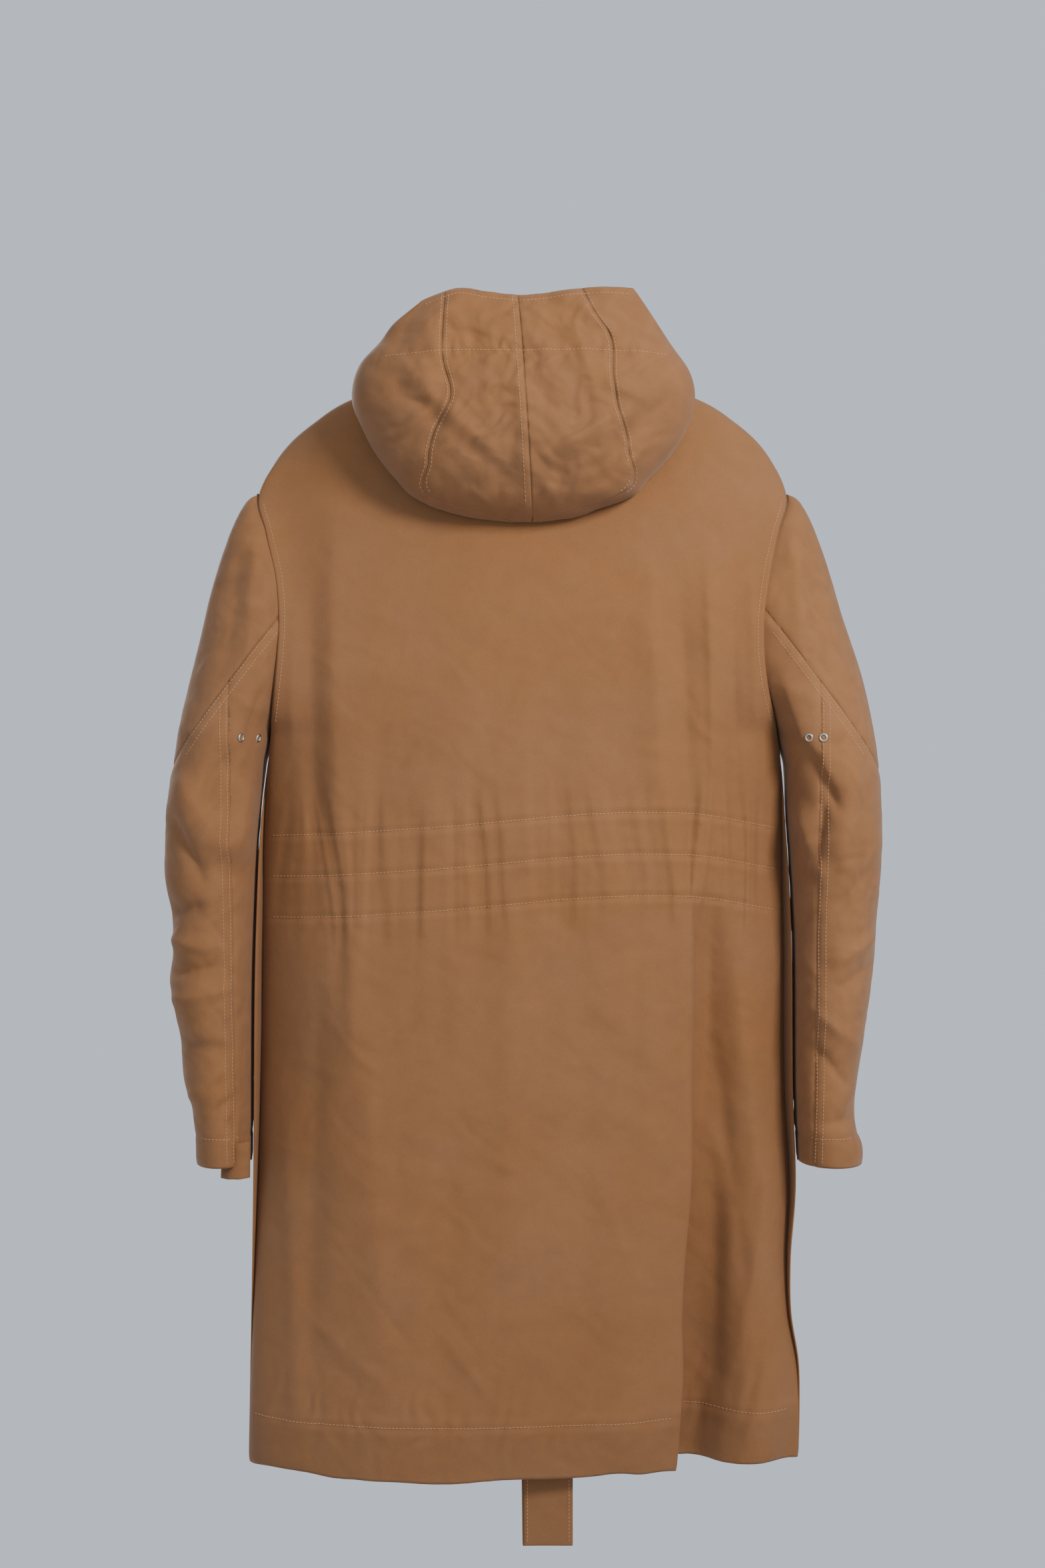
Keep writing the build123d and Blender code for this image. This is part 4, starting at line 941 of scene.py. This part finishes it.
# Tab inside the back of the left cuff
tab_x = np.linspace(251.5, 279.5, 15)[None, :]
tab_z = spaced(CUFF + 22, CUFF - 10.5, 2.2)[:, None]
tab_y = 46 - 0.045 * (tab_x - 262) ** 2 + 3.0 * ease(CUFF, CUFF - 12, tab_z)
tab_y = tab_y + 0.5 * crumple(tab_x, tab_z, 30, 98, 2)
tilt = 0.07 * (tab_x - 265)
tab_grid = np.stack([tab_x + 0 * tab_z, tab_y, tab_z - tilt], axis=-1)
cuff_tab = thicken(grid_mesh("cuff_tab_cloth", tab_grid), 1.8)
dress(cuff_tab, strap_cotton, ["cuff_tab_left"], "sleeve_left")


# ---------------------------------------------------------------- hood

foot_rows = HOOD_CORNER + (HOOD_FOOT - HOOD_CORNER) * np.sin(np.linspace(0, math.pi / 2, 15)[1:])
hood_rows = np.concatenate([spaced(HOOD_TOP, HOOD_CORNER, 2.0), foot_rows])
near_rows = np.concatenate([spaced(28, HOOD_CORNER, 4.0), foot_rows])
HOOD_STRIPS = (
    ("side_right", -1.0, hood_seam_right, 40),
    ("crown_right", hood_seam_right, hood_seam_middle, 44),
    ("crown_left", hood_seam_middle, hood_seam_left, 44),
    ("side_left", hood_seam_left, 1.0, 40),
)
hood_pieces = []
for panel, low, high, columns in HOOD_STRIPS:
    shares = hood_shares(hood_rows, low, high, columns)
    outer = hood_outer(hood_rows, shares)
    # Tone of the hood: paler at the rim's top edge, painted shade along each seam with painted highlight
    # beside it, and random unevenness.
    tone = 0.10 * crumple(outer[..., 0], outer[..., 2], 32, 96, 2)
    tone = tone + 0.2 * ease(HOOD_TOP - 4, HOOD_TOP, hood_rows)[:, None]
    for seam in HOOD_SEAMS:
        off = outer[..., 0] - seam(outer[..., 2])
        tone = tone + 0.14 * bump(4, 4, off) - 0.22 * bump(0, 1.3, off)
    shares = hood_shares(near_rows, low, high, columns)
    inner = hood_outer(near_rows, shares)
    inner[..., 1] = HOOD_NEAR + 0.6 * crumple(inner[..., 0], inner[..., 2], 60, 99, 2) * (1 - shares ** 4)
    parts = [grid_mesh("outer", outer, tone), grid_mesh("inner", inner[:, ::-1], 0 * inner[..., 0])]
    piece = joined(f"hood_{panel}_cloth", parts, 0.6)
    hood_pieces.append((panel, piece))
hood_tree = tree_of(*[piece for _, piece in hood_pieces])
for panel, piece in hood_pieces:
    thicken(piece)
    dress(piece, shell, [f"hood_{panel}"], "hood")

tunnel_rows = spaced(HOOD_TOP, HOOD_TOP - HOOD_TUNNEL, 2.0)
tunnel_shares = hood_shares(tunnel_rows, -1.0, 1.0, 150)[:, 5:-5]
tunnel = inward(hood_outer(tunnel_rows, tunnel_shares), CLOTH + LAYER_GAP)
hood_tunnel = thicken(grid_mesh("hood_rim_lining", tunnel))
dress(hood_tunnel, lining, ["hood_rim_facing"], "hood")


# ---------------------------------------------------------------- fronts: zip, flap and pockets

def front_point(x, z, outside):
    """A point that stands outside the fronts' flat."""
    step = outside / math.hypot(1, FRONT_SLOPE)
    y = front_plane_y(z) - step
    return np.stack([x + 0.0 * z, y + 0.0 * x, z + step * FRONT_SLOPE + 0.0 * x], axis=-1)


def front_strip(name, sign, near_x, far_x, low, high, outside, thickness, wave=0.0, columns=14):
    """A strip of cloth lying along the fronts' flat; near_x and far_x may be curves of height."""
    z = spaced(high, low, 3.0)[:, None]
    near = near_x(z) if callable(near_x) else near_x + 0 * z
    far = far_x(z) if callable(far_x) else far_x + 0 * z
    s = np.linspace(0, 1, columns)[None, :]
    x = near + (far - near) * s
    ripple = wave * crumple(x, z, 120, 41) * np.ones_like(x)
    places = front_point(x, z + 0 * x, outside + ripple)
    places[..., 0] *= sign
    if sign > 0:
        places = places[:, ::-1]
    return thicken(grid_mesh(name, places), thickness)


def facing_far(z):
    """Where the far edge of a front's facing runs."""
    return np.minimum(EDGE_X + 40, fold_x(z) - 1)


def hem_turn_far(z):
    """Where the turned-up hem of a front ends, short of the fold line."""
    return fold_x(z) - 3


low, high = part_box("zip_chain_left")
ZIP_LOW, ZIP_HIGH = low.z / MM, high.z / MM
CHAIN_X = (low.x + high.x) / 2 / MM
low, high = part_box("storm_flap")
FLAP_LOW, FLAP_HIGH = low.z / MM, high.z / MM
FLAP_NEAR, FLAP_FAR = low.x / MM, high.x / MM
TOOTH = ((-2.0, -0.85), (0.6, -0.85), (1.5, -0.5), (2.0, 0.0), (1.5, 0.5), (0.6, 0.85), (-2.0, 0.85))
TOOTH_PITCH = 2.4
for side, sign in (("left", 1), ("right", -1)):
    body = f"front_{side}"
    facing = front_strip(
        f"front_facing_cloth_{side}", sign, EDGE_X + 0.6, facing_far, HEM + 1, -80, -2.6, 1.1, 0.2
    )
    dress(facing, lining, [f"front_facing_{side}"])
    hem_turn = front_strip(
        f"hem_turn_{side}", sign, EDGE_X + 41, hem_turn_far, HEM + 0.6, HEM + HEM_HEIGHT, -2.2, 1.1, 0.2, 40
    )
    dress(hem_turn, lining, [f"hem_facing_{side}"])
    tape = front_strip(
        f"zip_tape_woven_{side}", sign, EDGE_X - 9, EDGE_X + 13, ZIP_LOW, ZIP_HIGH, -5.0, 1.0, 0.0, 8
    )
    dress(tape, woven_tape, [f"zip_tape_{side}"])
    for strip in (facing, hem_turn, tape):
        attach(strip, body)

    # Teeth, each a small rounded block over the tape's edge
    count = len(TOOTH)
    corners, faces = [], []
    for z in np.arange(ZIP_LOW + 1.2, ZIP_HIGH - 1.0, TOOTH_PITCH):
        first = len(corners)
        for outside in (-4.1, -6.9):
            for dx, dz in TOOTH:
                corner = front_point(np.array(CHAIN_X - dx), np.array(z + dz), outside)
                corners.append(corner * (sign, 1, 1) * MM)
        faces.append([first + i for i in range(count)])
        faces.append([first + count + i for i in reversed(range(count))])
        for i in range(count):
            after = (i + 1) % count
            faces.append([first + i, first + count + i, first + count + after, first + after])
    mesh = bpy.data.meshes.new(f"zip_teeth_{side}")
    mesh.from_pydata([tuple(c) for c in corners], [], faces)
    teeth = bpy.data.objects.new(mesh.name, mesh)
    bpy.context.scene.collection.objects.link(teeth)
    dress(teeth, brass, [f"zip_chain_{side}"], body)

    # Slanted welt pocket
    low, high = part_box(f"pocket_welt_{side}")
    welt_low, welt_high = low.z / MM + 3, high.z / MM - 3
    lean = (FOLD_HEM_X - EDGE_X) / (NECK - HEM)
    mid_x = abs(low.x + high.x) / 2 / MM
    mid_z = (welt_low + welt_high) / 2
    u = np.linspace(0, 1, 13)[None, :]
    z = spaced(welt_high, welt_low, 3.0)[:, None]
    x = mid_x - 13 + 26 * u + (mid_z - z) * lean
    ends = np.minimum((z - welt_low), (welt_high - z)) / 5
    puff = 3.6 * (1 - np.abs(2 * u - 1) ** 5) * np.clip(ends, 0, 1) ** 0.5 + 0.3 * crumple(x, z, 40, 43)
    places = front_point(x, z + 0 * x, 0.2 + puff) * (sign, 1, 1)
    welt = thicken(grid_mesh(f"pocket_welt_cloth_{side}", places[:, ::-1] if sign > 0 else places))
    dress(welt, shell, [f"pocket_welt_{side}"], body)

    low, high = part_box(f"pocket_bag_{side}")
    near, far = min(abs(low.x), abs(high.x)) / MM, max(abs(low.x), abs(high.x)) / MM
    u = np.linspace(0, 1, 34)[None, :]
    z = spaced(high.z / MM, low.z / MM, 5.0)[:, None]
    v = (high.z / MM - z) / (high.z - low.z) * MM
    x = near + (fold_x(z) - 8 - near) * u
    plump = (1 - (2 * u - 1) ** 6) * (1 - (2 * v - 1) ** 6)
    depth = (8.0 + 1.5 * crumple(x, z, 110, 45)) * plump
    front_side = front_point(x, z + 0 * x, -5.6 + 0 * plump) * (sign, 1, 1)
    back_side = front_point(x, z + 0 * x, -5.7 - depth) * (sign, 1, 1)
    sides = (front_side[:, ::-1], back_side) if sign > 0 else (front_side, back_side[:, ::-1])
    bag = joined(f"pocket_bag_cloth_{side}", [grid_mesh("a", sides[0]), grid_mesh("b", sides[1])], 0.3)
    dress(bag, pocketing, [f"pocket_bag_{side}"], body)

# Storm flap: two layers with rounded edges, folded over the zip from its seam on the left front
u = np.linspace(0, 1, 40)[None, :]
z = spaced(FLAP_HIGH, FLAP_LOW, 3.0)[:, None]
x = FLAP_NEAR + (FLAP_FAR - FLAP_NEAR) * u
free = (1 - u) ** 2
lift = 0.35 * crumple(x, z, 140, 47) + 2.2 * free * (1 + crumple(0 * x, z, 260, 48, 2))
rim = np.minimum(np.minimum(u * 60, (1 - u) * 60), np.minimum(FLAP_HIGH - z, z - FLAP_LOW)) / 2.2
rim = np.sqrt(1 - (1 - np.clip(rim, 0, 1)) ** 2)
upper = front_point(x, z + 0 * x, 1.5 + 1.0 * rim + np.abs(lift))
lower = front_point(x, z + 0 * x, 1.5 - 1.0 * rim + np.abs(lift))
storm_flap = joined("storm_flap_cloth", [grid_mesh("a", upper[:, ::-1]), grid_mesh("b", lower)], 0.3)
flap_tree = tree_of(storm_flap)
dress(storm_flap, shell, ["storm_flap"], "storm_flap")


def turned(name, outline, places, normals):
    """A row of small turned metal parts with (radius, height) outlines, one at each place."""
    corners, faces = [], []
    ring = 28
    for place, normal in zip(places, normals):
        side_way = normal.orthogonal().normalized()
        other = normal.cross(side_way)
        first = len(corners)
        for radius, height in outline:
            for step in range(ring):
                a = 2 * math.pi * step / ring
                outwards = side_way * math.cos(a) + other * math.sin(a)
                corners.append(place + outwards * radius * MM + normal * height * MM)
        faces += ring_faces(first, ring, len(outline))
    return mesh_piece(name, corners, faces)


outwards = Vector((0, -1, FRONT_SLOPE)).normalized()
SNAP_COUNT = 5
SNAP_RADIUS = 7.5
# (radius, height) from the rim inwards
CAP_OUTLINE = (
    (7.2, 0), (7.4, 0.8), (7.0, 1.5), (6.0, 1.9), (5.4, 1.75), (4.6, 1.9), (2.4, 2.1), (0.02, 2.15),
)
STUD_OUTLINE = (
    (7.2, 0), (7.3, 0.6), (6.6, 1.0), (3.4, 1.1), (3.0, 1.6), (3.5, 2.3), (2.6, 2.5), (0.02, 2.3),
)
for name, node, outline, body in (
    ("snap_cap_domes", "snap_caps", CAP_OUTLINE, "storm_flap"),
    ("snap_stud_posts", "snap_studs", STUD_OUTLINE, "front_right"),
):
    low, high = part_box(node)
    middle_x = (low.x + high.x) / 2 / MM
    span = np.linspace(high.z / MM - SNAP_RADIUS, low.z / MM + SNAP_RADIUS, SNAP_COUNT)
    if node == "snap_caps":
        places = [on_surface(flap_tree, middle_x, level, -1)[0] for level in span]
    else:
        places = [Vector(front_point(np.array(middle_x), np.array(level), 0.0) * MM) for level in span]
    snaps = turned(name, outline, places, [outwards] * len(places))
    dress(snaps, brass, [node], body)

for node in ("zip_slider", "zip_pull"):
    piece = bpy.data.objects[node]
    for place in piece.material_slots:
        place.material = brass


# ---------------------------------------------------------------- strap

low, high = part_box("strap")
STRAP_X = (low.x + high.x) / 2 / MM
STRAP_TOP = high.z / MM
run = spaced(STRAP_TOP, STRAP_END + 3, 4.0)
around = np.linspace(0, math.pi, 9)[1:-1]
far_y, near_y = 49.2, 44.8
centre_y = np.concatenate([0 * run + far_y, 47 + 2.2 * np.cos(around), 0 * run + near_y])
centre_z = np.concatenate([run, STRAP_END + 2.6 - 2.2 * np.sin(around), run[::-1]])
u = np.linspace(-0.5, 0.5, 17)[None, :]
shift = np.concatenate([0 * run, 0 * around, 0 * run])
shift[len(run):] = np.linspace(0, 5.5, len(shift) - len(run)) ** 0.5 * 2.0
shift = shift[:, None] * ease(STRAP_TOP, STRAP_TOP - 40, centre_z)[:, None]
narrow = 1 - 0.35 * ease(STRAP_TOP - 14, STRAP_TOP, centre_z)[:, None]
x = STRAP_X - 1.5 + 45 * u * narrow + shift
rumpled = 0.5 * crumple(45 * u, centre_z[:, None], 90, 51)
y = centre_y[:, None] + rumpled * ease(STRAP_TOP, STRAP_TOP - 60, centre_z)[:, None]
z = centre_z[:, None] + 0 * u - 5 * np.abs(u) * ease(STRAP_TOP - 30, STRAP_TOP, centre_z)[:, None]
strap_cloth = grid_mesh("strap_cloth", np.stack([x, y, z], axis=-1), -0.1 * np.ones(x.shape))
strap_tree = tree_of(strap_cloth)
thicken(strap_cloth, 1.3)
dress(strap_cloth, strap_cotton, ["strap"], "strap")

low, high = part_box("strap_tack")
u = np.linspace(-1, 1, 25)[None, :]
v = np.linspace(1, -1, 15)[:, None]
thick = np.sqrt(np.clip(1 - np.maximum(np.abs(u), np.abs(v)) ** 8, 0, 1))
half = (high.y - low.y) / 2 / MM - 2.0
middle = Vector((low + high) / 2) / MM
x = middle.x + u * 23.5 + 0 * v
z = middle.z + v * 11.5 + 0 * u
far_side = np.stack([x, middle.y - 1.5 + half * thick, z], axis=-1)
near_side = np.stack([x, middle.y - 1.5 - half * thick, z], axis=-1)
tack = joined("strap_tack_cloth", [grid_mesh("a", far_side), grid_mesh("b", near_side[:, ::-1])], 0.3)
dress(tack, lining, ["strap_tack"], "coat_body")


# ---------------------------------------------------------------- stitching and eyelets

def along(curve, first, last, step=2.0):
    """Points (x, z) along a curve that gives x at each height."""
    return [(float(curve(z)), z) for z in spaced(first, last, step)]


def warped(z, first, last, step=3.0):
    """Points along a waist line."""
    return [(x, z + float(waist_warp(x))) for x in spaced(first, last, step)]


armhole_rows = spaced(-96, -300, 3)
back_lines = [warped(z, -232, 236) for z in WAIST_LINES]
back_lines += [[(x, HEM + HEM_BAND) for x in spaced(*ends, 3)] for ends in ((-243, -141), (-134, 250))]
back_lines += [[(left_x(z) - 6, z) for z in armhole_rows], [(-right_x(z) + 6, z) for z in armhole_rows]]
back_stitches = sew("stitches_back", back_tree, back_lines)
dress(back_stitches, thread, body="coat_body")

for side, sign in (("left", 1), ("right", -1)):
    tree = sleeve_trees[side]
    (ax, az), (bx, bz) = CAP_SEAM
    lines = []
    for below in (-2.2, -8.2):
        shift = np.array([-(bz - az), bx - ax]) / math.hypot(bx - ax, bz - az) * below
        start, end = np.array([ax + 5, az - 6]) + shift, np.array([bx + 2, bz - 3]) + shift
        lines.append([(sign * p[0], p[1]) for p in np.linspace(start, end, 30)])
    lines += [[(sign * (under_seam_x(z) + dx), z) for z in spaced(-282, CUFF + 3, 3)] for dx in (2.0, 7.5)]
    cuff_outer = sleeve_out[sign](CUFF + 27)
    lines.append([(sign * x, CUFF + 27) for x in spaced(259, float(cuff_outer) - 3, 2)])
    stitches = sew(f"stitches_sleeve_{side}", tree, lines)
    dress(stitches, thread)
    under_arm(stitches)

    # Vent eyelets at the back of the armpit
    low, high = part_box(f"eyelets_{side}")
    places, normals = [], []
    for share in (-0.12, 0.5):
        x = abs(low.x) + (abs(high.x) - abs(low.x)) * share
        place, normal = on_surface(tree, sign * x / MM, (low.z + high.z) / 2 / MM, 1)
        places.append(place)
        normals.append(normal if normal.y > 0 else -normal)
    outline = ((2.2, -1.5), (2.2, 0.6), (2.7, 1.05), (3.4, 1.05), (4.0, 0.6), (4.1, 0.0))
    rings = turned(f"eyelet_rings_{side}", outline, places, normals)
    dress(rings, steel, [f"eyelets_{side}"])
    under_arm(rings)

lines = [along(lambda z, d=d: hood_seam_left(z) + d, 78, -94) for d in (2.5, -3.5)]
lines += [along(lambda z: hood_seam_middle(z) + 5.5, 78, -114)]
lines += [along(lambda z, d=d: hood_seam_right(z) + d, 80, -94) for d in (-2.5, 3.5)]
lines.append([(x, 84 - HOOD_TUNNEL + float(hood_rim(x)) * 0.2) for x in spaced(-126, 128, 2)])
lines.append([(x, 78.0 + float(hood_rim(x))) for x in spaced(-92, 90, 2)])
hood_stitches = sew("stitches_hood", hood_tree, lines)
dress(hood_stitches, thread, body="hood")

lines = [[(FLAP_NEAR + 4, z) for z in spaced(FLAP_HIGH - 5, FLAP_LOW + 5, 4)]]
lines.append([(x, FLAP_LOW + 5) for x in spaced(FLAP_NEAR + 4, FLAP_FAR - 4, 3)])
lines.append([(x, FLAP_HIGH - 5) for x in spaced(FLAP_NEAR + 4, FLAP_FAR - 4, 3)])
lines.append([(FLAP_FAR - 3, z) for z in spaced(FLAP_HIGH - 5, FLAP_LOW + 5, 4)])
flap_stitches = sew("stitches_flap", flap_tree, lines, -1)
dress(flap_stitches, thread, body="storm_flap")

for side, sign in (("left", 1), ("right", -1)):
    lines = [[(sign * (EDGE_X + 4), z) for z in spaced(-84, HEM + 4, 4)]]
    lines.append([(sign * (EDGE_X + 38), z) for z in spaced(-300, HEM + 4, 4)])
    lines.append([(sign * x, HEM + HEM_BAND) for x in spaced(EDGE_X + 38, FOLD_HEM_X - 34, 3)])
    stitches = sew(f"stitches_front_{side}", front_trees[side], lines, -1)
    dress(stitches, thread)
    across_fold(stitches)

lines = [[(STRAP_X - 1.5 + d, z) for z in spaced(HEM + 20, STRAP_END + 4, 3)] for d in (-19, 19)]
strap_stitches = sew("stitches_strap", strap_tree, lines)
dress(strap_stitches, thread, body="strap")


# ---------------------------------------------------------------- flat sizes listed for each sheet of cloth; the loop only looks each piece up

CUTS = {
    "back_cloth": (0.53, 1.03),
    "front_cloth_left": (0.245, 1.03),
    "front_cloth_right": (0.245, 1.03),
    "hem_turn_back": (0.72, 0.05),
    "waist_casing": (0.53, 0.085),
    "waist_elastic_band_upper": (0.53, 0.031),
    "waist_elastic_band_lower": (0.53, 0.031),
    "neck_facing_cloth": (0.19, 0.045),
    "hood_stand_cloth": (0.32, 0.021),
    "hanging_loop": (0.072, 0.01, 0.00055),
    "hood_crown_left_cloth": (0.085, 0.36),
    "hood_crown_right_cloth": (0.085, 0.36),
    "hood_side_left_cloth": (0.125, 0.22),
    "hood_side_right_cloth": (0.12, 0.22),
    "hood_rim_lining": (0.29, 0.058),
    "storm_flap_cloth": (0.06, 0.765),
    "strap_cloth": (0.045, 1.17),
    "strap_tack_cloth": (0.048, 0.032),
    "cuff_tab_cloth": (0.035, 0.036),
}
for side in ("left", "right"):
    CUTS[f"sleeve_cap_cloth_{side}"] = (0.235, 0.19)
    CUTS[f"sleeve_main_cloth_{side}"] = (0.20, 0.48)
    CUTS[f"sleeve_under_cloth_{side}"] = (0.12, 0.45)
    CUTS[f"cuff_turn_{side}"] = (0.255, 0.027)
    CUTS[f"front_facing_cloth_{side}"] = (0.04, 0.90)
    CUTS[f"hem_turn_{side}"] = (0.12, 0.05)
    CUTS[f"zip_tape_woven_{side}"] = (0.022, 0.83)
    CUTS[f"pocket_welt_cloth_{side}"] = (0.029, 0.178)
    CUTS[f"pocket_bag_cloth_{side}"] = (0.08, 0.235)
for name, flat in CUTS.items():
    piece = bpy.data.objects[name]


# ---------------------------------------------------------------- floor, world and light

floor_mesh = bpy.data.meshes.new("floor")
made = bmesh.new()
bmesh.ops.create_circle(made, cap_ends=True, radius=1.05, segments=96)
made.to_mesh(floor_mesh)
made.free()
floor = bpy.data.objects.new("floor", floor_mesh)
bpy.context.scene.collection.objects.link(floor)
floor.location.z = -1.5
pale, _ = finish_of("pale_floor", (0.55, 0.57, 0.60), 0.9)
floor.data.materials.append(pale)

world = bpy.data.worlds.new("studio")
bpy.context.scene.world = world
world.use_nodes = True
background = world.node_tree.nodes["Background"]
background.inputs["Color"].default_value = (0.52, 0.575, 0.66, 1)
background.inputs["Strength"].default_value = 1.22


def lamp(name, place, aim, size, power, colour=(1, 1, 1)):
    """A soft square light."""
    data = bpy.data.lights.new(name, "AREA")
    data.size = size
    data.energy = power
    data.color = colour
    light = bpy.data.objects.new(name, data)
    bpy.context.scene.collection.objects.link(light)
    light.location = place
    light.rotation_euler = (Vector(aim) - Vector(place)).to_track_quat("-Z", "Y").to_euler()


lamp("key", (-1.0, 1.55, 0.55), (0, 0, -0.35), 0.45, 46, (1.0, 0.965, 0.92))
lamp("fill", (0.9, 2.6, 0.1), (0, 0, -0.45), 1.6, 7, (0.92, 0.96, 1.0))
lamp("front", (0.9, -2.2, 0.6), (0, 0, -0.4), 1.2, 60)
